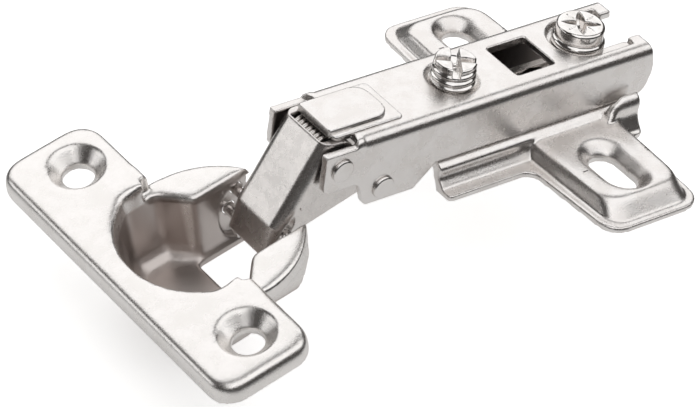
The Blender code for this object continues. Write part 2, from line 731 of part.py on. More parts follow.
def cup_outline(grow, rear, channel_grow=None):
    """Outline of the cup's pocket and channel, grown outwards by the given amounts."""
    pocket = CUP_POCKET_WIDTH / 2.0 + grow
    channel = CUP_CHANNEL_WIDTH / 2.0 + (grow if channel_grow is None else channel_grow)
    radius = CUP_FRONT_RADIUS + grow
    corners = []
    for step in range(1, 7):
        y = pocket * 0.13 * step
        corners.append((CUP_CENTRE - math.sqrt(radius * radius - y * y), y, 0.0))
    side = CUP_CENTRE - math.sqrt(radius * radius - pocket * pocket * 0.955)
    corners += [
        (side, pocket, 0.0022),
        (CUP_POCKET_REAR + 0.41 * grow, pocket, 0.0016),
        (CUP_CHANNEL_START + 0.41 * grow, channel, 0.0016),
        (rear, channel, 0.0),
    ]
    half = corners[:]
    return rounded([(a, b, r) for a, b, r in half] + [(a, -b, r) for a, b, r in reversed(half)], 5)


def bowl(radius, edge, base, grow, rear):
    """Rings of a drawn bottom: a large radius round the pocket, a small one along the channel."""
    rings = []
    for step in range(5):
        angle = math.pi / 2.0 * step / 4.0
        drawn = 1.0 - math.sin(angle)
        outline = cup_outline(grow - radius * drawn, rear, grow - edge * drawn)
        rings.append(ring(outline, "Z", base + radius * (1.0 - math.cos(angle))))
    return rings


def flange_outline(inset):
    """Outline of the flange, drawn in by the inset."""
    end = FLANGE_LENGTH / 2.0 - inset
    corner = FLANGE_CORNER - inset * 0.8
    return rounded(mirrored([
        (FLANGE_FRONT + inset, end, corner),
        (FLANGE_REAR - inset, end, corner),
    ])[::-1], 6)


def build_hinge_cup(carrier, pivot):
    """Drawn cup: stepped pocket and channel, pan flange with two dished holes, two ears."""
    deep = CUP_FLOOR + CUP_SHEET
    cup = loft("hinge_cup", [
        ring(flange_outline(0.0), "Z", -FLANGE_DEPTH),
        ring(flange_outline(0.0), "Z", -FLANGE_EDGE),
        ring(flange_outline(FLANGE_EDGE * 0.16), "Z", -FLANGE_EDGE * 0.5),
        ring(flange_outline(FLANGE_EDGE * 0.46), "Z", -FLANGE_EDGE * 0.17),
        ring(flange_outline(FLANGE_EDGE), "Z", 0.0),
    ])
    cut(cup, loft("pan", [
        ring(flange_outline(CUP_SHEET), "Z", -FLANGE_DEPTH - SMALL),
        ring(flange_outline(CUP_SHEET), "Z", -CUP_SHEET - 0.0004),
        ring(flange_outline(CUP_SHEET + 0.0004), "Z", -CUP_SHEET),
    ]))
    gap = FLANGE_GAP_WIDTH / 2.0
    cut(cup, prism("flange_gap", rounded(mirrored([
        (FLANGE_GAP_FRONT, gap, 0.0),
        (FLANGE_REAR - 0.0001, gap, 0.0),
        (FLANGE_REAR + 0.0005, gap + 0.0012, 0.0),
        (FLANGE_REAR + 0.0020, gap + 0.0012, 0.0),
    ])), "Z", -FLANGE_DEPTH - SMALL, SMALL))

    body = loft("body", bowl(CUP_HEEL, CUP_HEEL * 0.2, -deep, CUP_SHEET - CUP_FLOOR_DRAFT, 0.03) + [
        ring(cup_outline(CUP_SHEET, 0.03), "Z", -SMALL),
    ])
    rear_view = rounded([
        (-0.02, -0.03, 0.0), (0.0157, -0.03, 0.0), (0.0157, -deep, 0.0030),
        (0.0188, -0.0055, 0.0050), (0.0188, 0.01, 0.0), (-0.02, 0.01, 0.0),
    ])
    keep(body, turned("disc", "Z", CUP_CENTRE, 0.0, [
        (-0.03, CUP_DIAMETER / 2.0 - PIN_PROUD), (0.01, CUP_DIAMETER / 2.0 - PIN_PROUD),
    ], 64), prism("rear_view", rear_view, "Y", -0.02, 0.02))
    cut(body, box("low_rear", (FLANGE_GAP_FRONT - 0.0003, -0.02, -EAR_DROP - 0.0002), (0.03, 0.02, 0.01)))
    join(cup, body)

    skirt = EAR_DROP + EAR_SKIRT
    rim = CUP_DIAMETER / 2.0
    ears = turned("ears", "Z", CUP_CENTRE, 0.0, [
        (-skirt, rim), (-EAR_DROP - 0.0007, rim), (-EAR_DROP - 0.0003, rim - 0.0001),
        (-EAR_DROP - 0.0001, rim - 0.0003), (-EAR_DROP, rim - 0.0007),
    ], 64)
    cut(ears, turned("ear_hollow", "Z", CUP_CENTRE, 0.0, [
        (-skirt - SMALL, rim - CUP_SHEET), (-EAR_DROP - CUP_SHEET, rim - CUP_SHEET),
    ], 64))
    cut(ears, box("ear_front", (-0.02, -0.02, -0.02), (FLANGE_GAP_FRONT - 0.0007, 0.02, 0.01)))
    join(cup, ears)

    for side in (-1.0, 1.0):
        y = side * SCREW_SPACING / 2.0
        join(cup, turned("dish", "Z", 0.0, y, [
            (-SCREW_DISH_DEPTH - 0.0010, SCREW_HOLE / 2.0 + 0.0009),
            (-0.0006, SCREW_DISH / 2.0 + 0.0006),
        ]))
        cut(cup, turned("hole", "Z", 0.0, y, [
            (-0.006, SCREW_HOLE / 2.0), (-SCREW_DISH_DEPTH, SCREW_HOLE / 2.0),
            (-0.0003, SCREW_DISH / 2.0 - 0.0003), (0.0001, SCREW_DISH / 2.0 + 0.0002),
        ]))

    far = 0.03
    cut(cup, loft("pocket", bowl(CUP_FOOT, CUP_FOOT * 0.25, -CUP_FLOOR, -CUP_FLOOR_DRAFT, far) + [
        ring(cup_outline(0.0, far), "Z", -0.0011),
        ring(cup_outline(0.0001, far), "Z", -0.0006),
        ring(cup_outline(CUP_FLARE * 0.5, far), "Z", -0.0002),
        ring(cup_outline(CUP_FLARE, far), "Z", 0.0),
        ring(cup_outline(CUP_FLARE + 0.0004, far), "Z", 0.0004),
    ]))
    lip = loft("ear_lip", [
        ring(cup_outline(-0.0012, far), "Z", -EAR_DROP - 0.0013),
        ring(cup_outline(0.0, far), "Z", -EAR_DROP - 0.0009),
        ring(cup_outline(0.0001, far), "Z", -EAR_DROP - 0.0005),
        ring(cup_outline(CUP_FLARE * 0.5, far), "Z", -EAR_DROP - 0.0002),
        ring(cup_outline(CUP_FLARE, far), "Z", -EAR_DROP),
        ring(cup_outline(CUP_FLARE + 0.0004, far), "Z", -EAR_DROP + 0.0004),
    ])
    keep(lip, box("ear_side", (FLANGE_GAP_FRONT - 0.0002, -0.02, -0.02), (0.025, 0.02, 0.01)))
    cut(cup, lip)

    window = FLOOR_WINDOW_WIDTH / 2.0
    cut(cup, prism("floor_window", rounded(mirrored([
        (FLOOR_WINDOW_FRONT, window, 0.0006), (0.03, window, 0.0),
    ]), 3), "Z", -0.02, -CUP_FLOOR + 0.0012))
    wall = CUP_CHANNEL_WIDTH / 2.0 - CUP_FLOOR_DRAFT
    joggle = rounded([
        (0.0175, -EAR_DROP - 0.0012, 0.0), (0.0141, -0.0054, 0.0015), (0.0122, -0.0093, 0.0040),
        (0.0132, -CUP_FLOOR + 0.0006, 0.0020), (0.0180, -CUP_FLOOR + 0.0004, 0.0),
        (0.0230, -CUP_FLOOR + 0.0004, 0.0), (0.0230, -EAR_DROP - 0.0012, 0.0),
    ])
    depth = CUP_CHANNEL_WIDTH / 2.0 + JOGGLE_DEPTH
    cut(cup, prism("joggle", joggle, "Y", wall - 0.0005, depth))
    cut(cup, prism("joggle", joggle, "Y", -depth, -wall + 0.0005))

    for u, n, size in ((STUD_U, STUD_N, STUD_DIAMETER), (CUP_PIN_U, CUP_PIN_N, CUP_PIN_DIAMETER)):
        bore = size / 2.0 + RIVET_CLEARANCE
        cut(cup, turned("bore", "Y", u, n, [(-0.02, bore), (0.02, bore)]))
    return finish(cup, NICKEL, 0.22, pivot, carrier)


def build_cup_pins(carrier, pivot):
    """Two short studs that carry the outer link and the through pin for the inner link."""
    face = CUP_CHANNEL_WIDTH / 2.0 + CUP_SHEET + PIN_PROUD
    stud = STUD_DIAMETER / 2.0
    for name, side in (("cup_stud_near", -1.0), ("cup_stud_far", 1.0)):
        piece = turned(name, "Y", STUD_U, STUD_N, [
            (side * STUD_INNER_END, stud), (side * face, stud),
        ], 24)
        finish(piece, NICKEL, 0.28, pivot, carrier)
    pin = turned("cup_pin", "Y", CUP_PIN_U, CUP_PIN_N, [
        (-face, CUP_PIN_DIAMETER / 2.0), (face, CUP_PIN_DIAMETER / 2.0),
    ], 24)
    finish(pin, NICKEL, 0.28, pivot, carrier)


def spring_route():
    """Centre line of the spring: leg under the arm, close coils about the pin, leg to the link."""
    radius = SPRING_COIL / 2.0
    top, knee, toe, down, out = link_lines()
    start_angle = math.pi / 2.0
    turns = SPRING_TURNS
    count = round(turns * 15)
    first = -turns * SPRING_PITCH / 2.0
    slope = math.radians(6.0)
    tangent = direction(-slope)
    lift = direction(start_angle - slope)
    points = []
    for step in range(3, 0, -1):
        offset = lift * radius + tangent * (SPRING_ARM_LEG * step / 3.0)
        points.append(FRONT_PIVOT + offset + Vector((0.0, first, 0.0)))
    for index in range(count + 1):
        share = index / count
        angle = start_angle - slope + 2.0 * math.pi * turns * share
        place = direction(angle) * radius
        points.append(FRONT_PIVOT + place + Vector((0.0, first + turns * SPRING_PITCH * share, 0.0)))
    last = direction(start_angle - slope + 2.0 * math.pi * turns)
    run = Vector((-last.z, 0.0, last.x))
    final = points[-1].copy()
    for step in range(1, 4):
        points.append(final + run * (SPRING_LINK_LEG * step / 3.0))
    return points


def build_spring():
    """Torsion spring bent from round wire, as one closed tube along its centre line."""
    points = spring_route()
    sides = 6
    rings = []
    across = Vector((0.0, 1.0, 0.0))
    for index, point in enumerate(points):
        ahead = points[min(index + 1, len(points) - 1)]
        behind = points[max(index - 1, 0)]
        tangent = (ahead - behind).normalized()
        first = tangent.cross(across).normalized()
        second = tangent.cross(first).normalized()
        rings.append([
            point + (first * math.cos(turn) + second * math.sin(turn)) * (SPRING_WIRE / 2.0)
            for turn in [2.0 * math.pi * (side + 0.5) / sides for side in range(sides)]
        ])
    return finish(loft("torsion_spring", rings), SPRING_STEEL, 0.30, FRONT_PIVOT)


def cross_recess(x, top, arm_length):
    """Four-armed driver recess, narrower at its bottom, as one cutter."""
    cutter = None
    for axis in (0, 1):
        rings = []
        for level, long_half, short_half in (
            (top - RECESS_DEPTH, arm_length * 0.28, RECESS_BLADE * 0.35),
            (top + 0.0002, arm_length * 0.52, RECESS_BLADE * 0.52),
        ):
            a, b = (long_half, short_half) if axis == 0 else (short_half, long_half)
            rings.append([Vector((x + sa * a, sb * b, level))
                          for sa, sb in ((-1, -1), (1, -1), (1, 1), (-1, 1))])
        blade = loft("blade", rings)
        if cutter is None:
            cutter = blade
        else:
            join(cutter, blade)
    return cutter


def build_side_screw():
    """Overlay adjusting screw: slotted barrel, collar on the arm, neck and button in the rail."""
    collar_low = ARM_TOP - SIDE_DISH_DEPTH + SEAT_GAP
    collar_high = collar_low + SIDE_COLLAR_THICKNESS
    button_high = RAIL_HEIGHT - PLATE_SHEET - SEAT_GAP
    button_low = button_high - SIDE_BUTTON_THICKNESS
    barrel = SIDE_BARREL / 2.0
    collar = SIDE_COLLAR / 2.0
    thread = SIDE_THREAD / 2.0
    neck = SIDE_NECK / 2.0
    button = SIDE_BUTTON / 2.0
    thread_low = RAIL_HEIGHT + SEAT_GAP + 0.0002
    screw = turned("side_adjusting_screw", "Z", SIDE_SCREW_X, 0.0, [
        (button_low, button - 0.0003), (button_low + 0.0003, button), (button_high, button),
        (button_high + 0.00001, neck), (thread_low, neck), (thread_low + 0.0004, thread),
        (collar_low - 0.00001, thread), (collar_low, collar), (collar_high - 0.0003, collar),
        (collar_high, collar - 0.0002), (collar_high + 0.00001, barrel),
        (SIDE_SCREW_TOP - 0.0004, barrel), (SIDE_SCREW_TOP, barrel - 0.0004),
    ])
    cut(screw, cross_recess(SIDE_SCREW_X, SIDE_SCREW_TOP, 0.0030))
    groove = DRIVER_SLOT / 2.0
    cut(screw, box("groove", (SIDE_SCREW_X - 0.005, -groove, SIDE_SCREW_TOP - DRIVER_SLOT_DEPTH),
                   (SIDE_SCREW_X + 0.005, groove, SIDE_SCREW_TOP + SMALL)))
    return finish(screw, BRIGHT_NICKEL, 0.16, Vector((SIDE_SCREW_X, 0.0, ARM_TOP)))


def build_fixing_screw():
    """Depth-locking screw: cheese head in the arm's seat, thread into the rail's collar."""
    head_low = ARM_TOP - SEAT_DEPTH + SEAT_GAP
    head_high = head_low + FIXING_HEAD_HEIGHT
    head = FIXING_HEAD / 2.0
    thread = FIXING_THREAD / 2.0
    screw = turned("fixing_screw", "Z", FIXING_X, 0.0, [
        (FIXING_TIP, thread - 0.0005), (FIXING_TIP + 0.0005, thread),
        (head_low - 0.00001, thread), (head_low, head), (head_high - 0.0005, head),
        (head_high - 0.0001, head - 0.0003), (head_high, head - 0.0007),
    ])
    cut(screw, cross_recess(FIXING_X, head_high, 0.0044))
    return finish(screw, BRIGHT_NICKEL, 0.16, Vector((FIXING_X, 0.0, ARM_TOP)))


def main():
    """Clear the scene and build the hinge."""
    for former in list(bpy.data.objects):
        bpy.data.objects.remove(former)
    build_mounting_plate()
    build_hinge_arm()
    build_arm_pin("arm_front_pin", FRONT_PIVOT)
    build_arm_pin("arm_rear_pin", REAR_PIVOT)
    build_outer_link()
    build_inner_link()
    pivot = Vector((STUD_U, 0.0, STUD_N))
    carrier = bpy.data.objects.new("cup_axis", None)
    bpy.context.scene.collection.objects.link(carrier)
    carrier.location = cup_point(STUD_U, STUD_N)
    carrier.rotation_euler = (0.0, -CUP_TILT, 0.0)
    build_hinge_cup(carrier, pivot)
    build_cup_pins(carrier, pivot)
    for name in ("hinge_cup", "cup_stud_near", "cup_stud_far", "cup_pin"):
        bpy.data.objects[name].location = Vector()
    build_spring()
    build_side_screw()
    build_fixing_screw()


main()
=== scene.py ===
import logging
import math
from dataclasses import dataclass
from enum import Enum
from typing import Callable

import bmesh
import bpy
import numpy as np
from bpy.types import Material, Node, NodeSocket, NodeTree, Object
from mathutils import Matrix, Vector


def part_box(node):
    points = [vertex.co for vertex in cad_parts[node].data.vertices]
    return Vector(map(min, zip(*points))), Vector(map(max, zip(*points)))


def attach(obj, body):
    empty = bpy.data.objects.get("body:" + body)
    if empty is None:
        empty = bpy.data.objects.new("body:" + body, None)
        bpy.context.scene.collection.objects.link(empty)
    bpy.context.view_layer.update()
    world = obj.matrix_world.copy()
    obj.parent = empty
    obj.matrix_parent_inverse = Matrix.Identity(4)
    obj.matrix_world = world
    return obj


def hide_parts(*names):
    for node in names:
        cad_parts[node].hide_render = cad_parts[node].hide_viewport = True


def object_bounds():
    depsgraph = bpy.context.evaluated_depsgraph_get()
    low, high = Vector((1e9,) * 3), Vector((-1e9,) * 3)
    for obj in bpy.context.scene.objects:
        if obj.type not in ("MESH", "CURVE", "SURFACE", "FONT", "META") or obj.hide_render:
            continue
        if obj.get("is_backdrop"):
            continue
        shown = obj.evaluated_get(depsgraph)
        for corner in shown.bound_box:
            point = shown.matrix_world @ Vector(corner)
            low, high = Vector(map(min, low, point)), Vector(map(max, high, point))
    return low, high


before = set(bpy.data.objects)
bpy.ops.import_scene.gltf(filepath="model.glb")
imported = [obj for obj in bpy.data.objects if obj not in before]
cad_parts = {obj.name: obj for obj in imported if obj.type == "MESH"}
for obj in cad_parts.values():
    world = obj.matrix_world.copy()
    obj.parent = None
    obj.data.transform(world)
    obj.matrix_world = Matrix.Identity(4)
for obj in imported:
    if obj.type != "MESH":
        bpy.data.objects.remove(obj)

LOG = logging.getLogger("hinge")
MM = 0.001
# Steps of the weights in a vertex group.
WEIGHT_LEVELS = 8.0
Grid = np.ndarray


class Carrier(Enum):
    """The moving body of the frame that a piece rides on."""

    PLATE = "plate"
    FIXING_SCREW = "fixing_screw_body"
    ARM = "arm"
    SIDE_SCREW = "side_screw_body"
    FRONT_LINK = "front_link"
    REAR_LINK = "rear_link"
    CUP = "cup"


# ---- colours and nodes


def linear(code: str) -> tuple[float, float, float, float]:
    """Turn an sRGB hex colour to linear values.

    Each channel is divided by 12.92 below 0.04045, and is ((c + 0.055) / 1.055) ** 2.4 above.

    Args:
        code: six hex digits.

    Returns:
        Linear red, green and blue, and a full alpha.
    """
    srgb = np.array([int(code[i:i + 2], 16) for i in (0, 2, 4)]) / 255.0
    values = np.where(srgb <= 0.04045, srgb / 12.92, ((srgb + 0.055) / 1.055) ** 2.4)
    return (float(values[0]), float(values[1]), float(values[2]), 1.0)


def per_mm(size: float) -> float:
    """Texture scale that gives a pattern of this size in millimetres."""
    return 1.0 / (size * MM)


def add_node(tree: NodeTree, kind: str, settings: dict | None = None,
             values: dict | None = None, links: dict | None = None) -> Node:
    """Add a shader node, set it up and link it.

    Args:
        tree: the node tree that gets the node.
        kind: the node's type name without its ShaderNode prefix.
        settings: property names and their values.
        values: input names or numbers and their constants.
        links: input names or numbers and the output sockets that feed them.

    Returns:
        The new node.
    """
    node = tree.nodes.new("ShaderNode" + kind)
    for name, value in (settings or {}).items():
        setattr(node, name, value)
    for name, value in (values or {}).items():
        node.inputs[name].default_value = value
    for name, socket in (links or {}).items():
        tree.links.new(socket, node.inputs[name])
    return node


def span(tree: NodeTree, value: NodeSocket, low: float, high: float, soft: float) -> NodeSocket:
    """Mask that is 1 between two values and falls to 0 outside over a soft width.

    Args:
        tree: the node tree.
        value: the socket that is tested, in metres.
        low: lower limit, in millimetres.
        high: upper limit, in millimetres.
        soft: half the width of each fall, in millimetres.

    Returns:
        The mask's socket.
    """
    low, high, soft = low * MM, high * MM, soft * MM
    rise = add_node(tree, "MapRange", {"interpolation_type": "SMOOTHSTEP"},
                    {"From Min": low - soft, "From Max": low + soft}, {"Value": value})
    fall = add_node(tree, "MapRange", {"interpolation_type": "SMOOTHSTEP"},
                    {"From Min": high - soft, "From Max": high + soft,
                     "To Min": 1.0, "To Max": 0.0}, {"Value": value})
    return add_node(tree, "Math", {"operation": "MULTIPLY"}, {},
                    {0: rise.outputs["Result"], 1: fall.outputs["Result"]}).outputs["Value"]


# ---- finishes


@dataclass(frozen=True)
class Zone:
    """A soft region turned about Y, darker and duller: painted shade in a hollow, or a scribed
    line.

    Across, up and along are distances from the centre in the turned frame, in millimetres;
    a round zone tests the distance from its upright axis instead of along.
    """

    centre: tuple[float, float, float]
    along: tuple[float, float]
    across: float
    up: tuple[float, float]
    turn: float = 0.0
    radius: float = 0.0
    soft: float = 0.25

    def mask(self, tree: NodeTree, place: NodeSocket) -> NodeSocket:
        """Add the nodes of the zone.

        Args:
            tree: the node tree.
            place: Object coordinates.

        Returns:
            A socket that is 1 inside and 0 outside.
        """
        local = add_node(tree, "VectorMath", {"operation": "SUBTRACT"},
                         {1: tuple(value * MM for value in self.centre)}, {0: place})
        cos, sin = math.cos(self.turn), math.sin(self.turn)
        far, wide, high = (add_node(tree, "VectorMath", {"operation": "DOT_PRODUCT"}, {1: axis},
                                    {0: local.outputs["Vector"]}).outputs["Value"]
                           for axis in ((cos, 0.0, sin), (0.0, 1.0, 0.0), (-sin, 0.0, cos)))
        tests = [span(tree, far, *self.along, self.soft),
                 span(tree, wide, -self.across, self.across, self.soft),
                 span(tree, high, *self.up, self.soft)]
        if self.radius:
            flat = add_node(tree, "CombineXYZ", {}, {}, {0: far, 1: wide})
            reach = add_node(tree, "VectorMath", {"operation": "LENGTH"}, {},
                             {0: flat.outputs["Vector"]}).outputs["Value"]
            tests.append(span(tree, reach, -1.0, self.radius, self.soft))
        whole = tests[0]
        for test in tests[1:]:
            whole = add_node(tree, "Math", {"operation": "MULTIPLY"}, {},
                             {0: whole, 1: test}).outputs["Value"]
        return whole


@dataclass(frozen=True)
class PlatedMetal:
    """Nickel plate over steel, the finish of every piece, with sizes in millimetres.

    The plate follows the steel under it, so three patterns show: a cloudy change of tint and
    gloss from the barrel, the fine drawn-out grain of the rolled strip, and a slow waviness.
    """

    name: str
    bright: str
    dull: str
    roughness: float
    cloud_mm: float = 2.6
    cloud_gloss: float = 0.02
    grain_mm: float = 0.18
    grain_along: tuple[float, float, float] = (0.5, 1.0, 1.0)
    grain_depth_mm: float = 0.022
    wave_mm: float = 2.4
    wave_depth_mm: float = 0.012
    # Colour and gloss in the zones: painted shade in hollows, or the dark of scribed lines.
    shade_and_scribe_colour: str = "c4bcb8"
    shade_and_scribe_gloss: float = 0.30
    zones: tuple[Zone, ...] = ()

    def material(self) -> Material:
        """Build the finish as a node material.

        Returns:
            The material, read through Object coordinates.
        """
        found = bpy.data.materials.get(self.name)
        if found:
            return found
        made = bpy.data.materials.new(self.name)
        made.use_nodes = True
        tree = made.node_tree
        tree.nodes.clear()
        place = add_node(tree, "TexCoord").outputs["Object"]
        cloud = add_node(tree, "TexNoise", {},
                         {"Scale": per_mm(self.cloud_mm), "Detail": 4.0, "Roughness": 0.6},
                         {"Vector": place})
        stretched = add_node(tree, "Mapping", {}, {"Scale": self.grain_along}, {"Vector": place})
        grain = add_node(tree, "TexNoise", {},
                         {"Scale": per_mm(self.grain_mm), "Detail": 3.0, "Roughness": 0.7},
                         {"Vector": stretched.outputs["Vector"]})
        wave = add_node(tree, "TexNoise", {}, {"Scale": per_mm(self.wave_mm), "Detail": 2.0},
                        {"Vector": place})
        tint = add_node(tree, "MapRange", {"interpolation_type": "SMOOTHSTEP"},
                        {"From Min": 0.35, "From Max": 0.65}, {"Value": cloud.outputs["Fac"]})
        colour = add_node(tree, "Mix", {"data_type": "RGBA"},
                          {6: linear(self.dull), 7: linear(self.bright)},
                          {0: tint.outputs["Result"]})
        gloss = add_node(tree, "MapRange", {},
                         {"From Min": 0.3, "From Max": 0.7,
                          "To Min": self.roughness + self.cloud_gloss,
                          "To Max": max(0.04, self.roughness - self.cloud_gloss)},
                         {"Value": cloud.outputs["Fac"]})
        shade, finish = colour.outputs[2], gloss.outputs["Result"]
        # Each zone paints the colour darker: painted shade in a hollow, or a scribed line.
        for zone in self.zones:
            mask = zone.mask(tree, place)
            shade = add_node(tree, "Mix", {"data_type": "RGBA"},
                             {7: linear(self.shade_and_scribe_colour)}, {0: mask, 6: shade}).outputs[2]
            finish = add_node(tree, "Mix", {"data_type": "FLOAT"},
                              {3: self.shade_and_scribe_gloss}, {0: mask, 2: finish}).outputs[0]
        ripple = add_node(tree, "Bump", {}, {"Strength": 1.0, "Distance": self.wave_depth_mm * MM},
                          {"Height": wave.outputs["Fac"]})
        relief = add_node(tree, "Bump", {},
                          {"Strength": 1.0, "Distance": self.grain_depth_mm * MM},
                          {"Height": grain.outputs["Fac"], "Normal": ripple.outputs["Normal"]})
        metal = add_node(tree, "BsdfPrincipled", {}, {"Metallic": 1.0},
                         {"Base Color": shade, "Roughness": finish,
                          "Normal": relief.outputs["Normal"]})
        add_node(tree, "OutputMaterial", {}, {}, {"Surface": metal.outputs["BSDF"]})
        return made


# Tilt of the open cup, and the middle of its drum along X, in millimetres.
CUP_TURN = math.radians(16.86)
DRUM_X = -55.87
# Bright nickel over pressed steel, plated in a barrel and tumbled: a clear, slightly warm mirror
# that is only faintly cloudy.
PRESSED_NICKEL = PlatedMetal("pressed_nickel", "e9e6e4", "e4e0dd", 0.17)
# The same plate over the drawn cup, whose steel is roughened by the draw: bright faces, speckled
# bends. Inside the drum and between the ears the colour is painted darker as painted shade, so
# every bounce there loses light.
CUP_NICKEL = PlatedMetal(
    "cup_nickel", "efecea", "ebe8e5", 0.27,
    zones=(Zone((DRUM_X, 0.0, 0.0), (-13.0, 1.4), 10.85, (-24.0, -1.55), CUP_TURN, 11.95, 0.35),
           Zone((DRUM_X, 0.0, 0.0), (1.0, 15.0), 6.7, (-24.0, -1.55), CUP_TURN)))
# Scribed lines on the wings that mark the slots' middles: X, distance in Y and half length.
SCRIBES = ((6.7, 15.1, 0.75), (6.7, 15.6, 0.75), (-4.95, 15.6, 0.45))
# The same plate over the pressed arm and mounting plate, speckled at the bends. Inside the arm's
# channel the colour is painted dark as painted shade; the scribed lines are dark marks.
CHANNEL_NICKEL = PlatedMetal(
    "channel_nickel", "ebe8e6", "e6e2df", 0.27, shade_and_scribe_colour="6a6462", shade_and_scribe_gloss=0.35,
    zones=(Zone((-12.0, 0.0, 0.0), (-40.0, 26.0), 5.22, (5.6, 10.9), 0.0, 0.0, 0.12),
           *(Zone((x, side * y, 3.0), (-reach, reach), 0.10, (-0.9, 0.9), 0.0, 0.0, 0.05)
             for side in (-1.0, 1.0) for x, y, reach in SCRIBES)))
# Nickel over headed and thread-rolled screws: the smoothest and brightest metal here.
SCREW_NICKEL = PlatedMetal("screw_nickel", "efecea", "e2dfdc", 0.12, cloud_mm=1.4,
                           grain_mm=0.1, grain_depth_mm=0.002, wave_depth_mm=0.006)
# Nickel over blanked and folded strip: a satin grey whose grain runs across the web.
LINK_NICKEL = PlatedMetal("link_nickel", "e4e0dd", "dedad7", 0.27, cloud_mm=1.6,
                          grain_mm=0.2, grain_along=(1.0, 0.5, 1.0), grain_depth_mm=0.018)
# Nickel over drawn spring wire: bright, with the die's lines round the wire.
SPRING_WIRE_NICKEL = PlatedMetal("spring_wire_nickel", "dcd9d6", "bdb8b4", 0.2,
                                 cloud_mm=0.8, grain_mm=0.08, grain_depth_mm=0.003)


# ---- mesh makers


def grid_object(name: str, points: Grid) -> Object:
    """Make a piece from a grid of points whose rows are rings, closed by a fan at each end.

    A quad joins the points (i, j), (i, j + 1), (i + 1, j + 1) and (i + 1, j), with j taken
    round the ring. The first and the last ring each get a middle point and a fan.

    Args:
        name: the piece's name.
        points: rows by columns by 3, in metres.

    Returns:
        The piece at the origin, shaded smooth, with its faces outwards.
    """
    rows, columns = points.shape[:2]
    index = np.arange(rows * columns).reshape(rows, columns)
    lower, upper = index[:-1], index[1:]
    quads = np.stack([lower, np.roll(lower, -1, axis=1), np.roll(upper, -1, axis=1), upper],
                     axis=-1).reshape(-1, 4)
    ends = np.stack([points[0].mean(axis=0), points[-1].mean(axis=0)])
    vertices = np.concatenate([points.reshape(-1, 3), ends])
    middle = np.full(columns, rows * columns)
    faces = quads.tolist()
    faces += np.stack([np.roll(index[0], -1), index[0], middle], axis=-1).tolist()
    faces += np.stack([index[-1], np.roll(index[-1], -1), middle + 1], axis=-1).tolist()
    mesh = bpy.data.meshes.new(name)
    mesh.from_pydata(vertices.tolist(), [], faces)
    work = bmesh.new()
    work.from_mesh(mesh)
    bmesh.ops.remove_doubles(work, verts=work.verts, dist=1e-7)
    bmesh.ops.recalc_face_normals(work, faces=work.faces)
    work.to_mesh(mesh)
    work.free()
    mesh.polygons.foreach_set("use_smooth", np.ones(len(mesh.polygons), dtype=bool))
    return as_object(name, mesh)


def lathe(axis_point: Grid, axis: Grid, profile: Grid, count: int) -> Grid:
    """Carry a profile round an axis that is square to X.

    The point at (i, j) is the axis point plus the profile's height i along the axis plus its
    radius i along the ring direction at the angle 2 pi j / count.

    Args:
        axis_point: a point on the axis, in metres.
        axis: the unit axis.
        profile: pairs of height and radius, in metres.
        count: points round the axis.

    Returns:
        A grid of points, rows along the profile.
    """
    side = np.cross(axis, (1.0, 0.0, 0.0))
    third = np.cross(axis, side)
    turn = np.linspace(0.0, 2.0 * math.pi, count, endpoint=False)
    spoke = np.cos(turn)[:, None] * side + np.sin(turn)[:, None] * third
    return axis_point + profile[:, None, :1] * axis + profile[:, None, 1:] * spoke[None]


def dense(profile: list[tuple[float, float]], step: float) -> Grid:
    """Put extra points on a profile so that no two are further apart than a step.

    Args:
        profile: corner points in order.
        step: the largest distance, in the profile's unit.

    Returns:
        The points in order, each stretch evenly divided.
    """
    corners = np.array(profile, dtype=float)
    lengths = np.linalg.norm(np.diff(corners, axis=0), axis=1)
    pieces = np.maximum(1, np.ceil(lengths / step).astype(int))
    place = np.concatenate([np.linspace(k, k + 1, n, endpoint=False)
                            for k, n in enumerate(pieces)] + [np.array([len(pieces)])])
    knots = np.arange(len(corners))
    return np.stack([np.interp(place, knots, corners[:, 0]),
                     np.interp(place, knots, corners[:, 1])], axis=1)


def smoothstep(low: float, high: float, value: Grid) -> Grid:
    """Rise from 0 to 1 between two values: t * t * (3 - 2 t) with t clipped to 0 and 1."""
    t = np.clip((value - low) / (high - low), 0.0, 1.0)
    return t * t * (3.0 - 2.0 * t)


def tube(path: Grid, radius: float, sides: int = 20) -> Grid:
    """Carry a circle along a path.

    At each point the frame is the tangent, its cross product with Y, and the cross product of
    the two; the circle stands in the last two.

    Args:
        path: points along the centre line, in metres.
        radius: the wire's radius, in metres.
        sides: points round the wire.

    Returns:
        A grid of points, rows along the path.
    """
    tangent = np.gradient(path, axis=0)
    tangent /= np.linalg.norm(tangent, axis=1, keepdims=True)
    first = np.cross(tangent, (0.0, 1.0, 0.0))
    first /= np.linalg.norm(first, axis=1, keepdims=True)
    second = np.cross(tangent, first)
    turn = np.linspace(0.0, 2.0 * math.pi, sides, endpoint=False)
    return (path[:, None] + radius * (np.cos(turn)[None, :, None] * first[:, None]
                                      + np.sin(turn)[None, :, None] * second[:, None]))


def run_thread(points: Grid, centre: Grid, pitch: float, depth: Grid, power: float) -> Grid:
    """Run a thread round a turned piece whose axis is upright.

    Each radius falls by the depth there times a power of (1 - cos(2 pi z / pitch - angle)) / 2.

    Args:
        points: the piece's grid of points.
        centre: a point on the axis.
        pitch: rise of the thread in one turn.
        depth: full depth of the thread at each point, zero where there is none.
        power: sharpness of the crests, 1 for a plain wave.

    Returns:
        The grid with its radii lowered.
    """
    out = points[..., :2] - centre[:2]
    radius = np.hypot(out[..., 0], out[..., 1])
    angle = np.arctan2(out[..., 1], out[..., 0])
    wave = 0.5 - 0.5 * np.cos(2.0 * math.pi * points[..., 2] / pitch - angle)
    scale = (radius - depth * wave ** power) / np.maximum(radius, 1e-9)
    turned = points.copy()
    turned[..., :2] = centre[:2] + out * scale[..., None]
    return turned


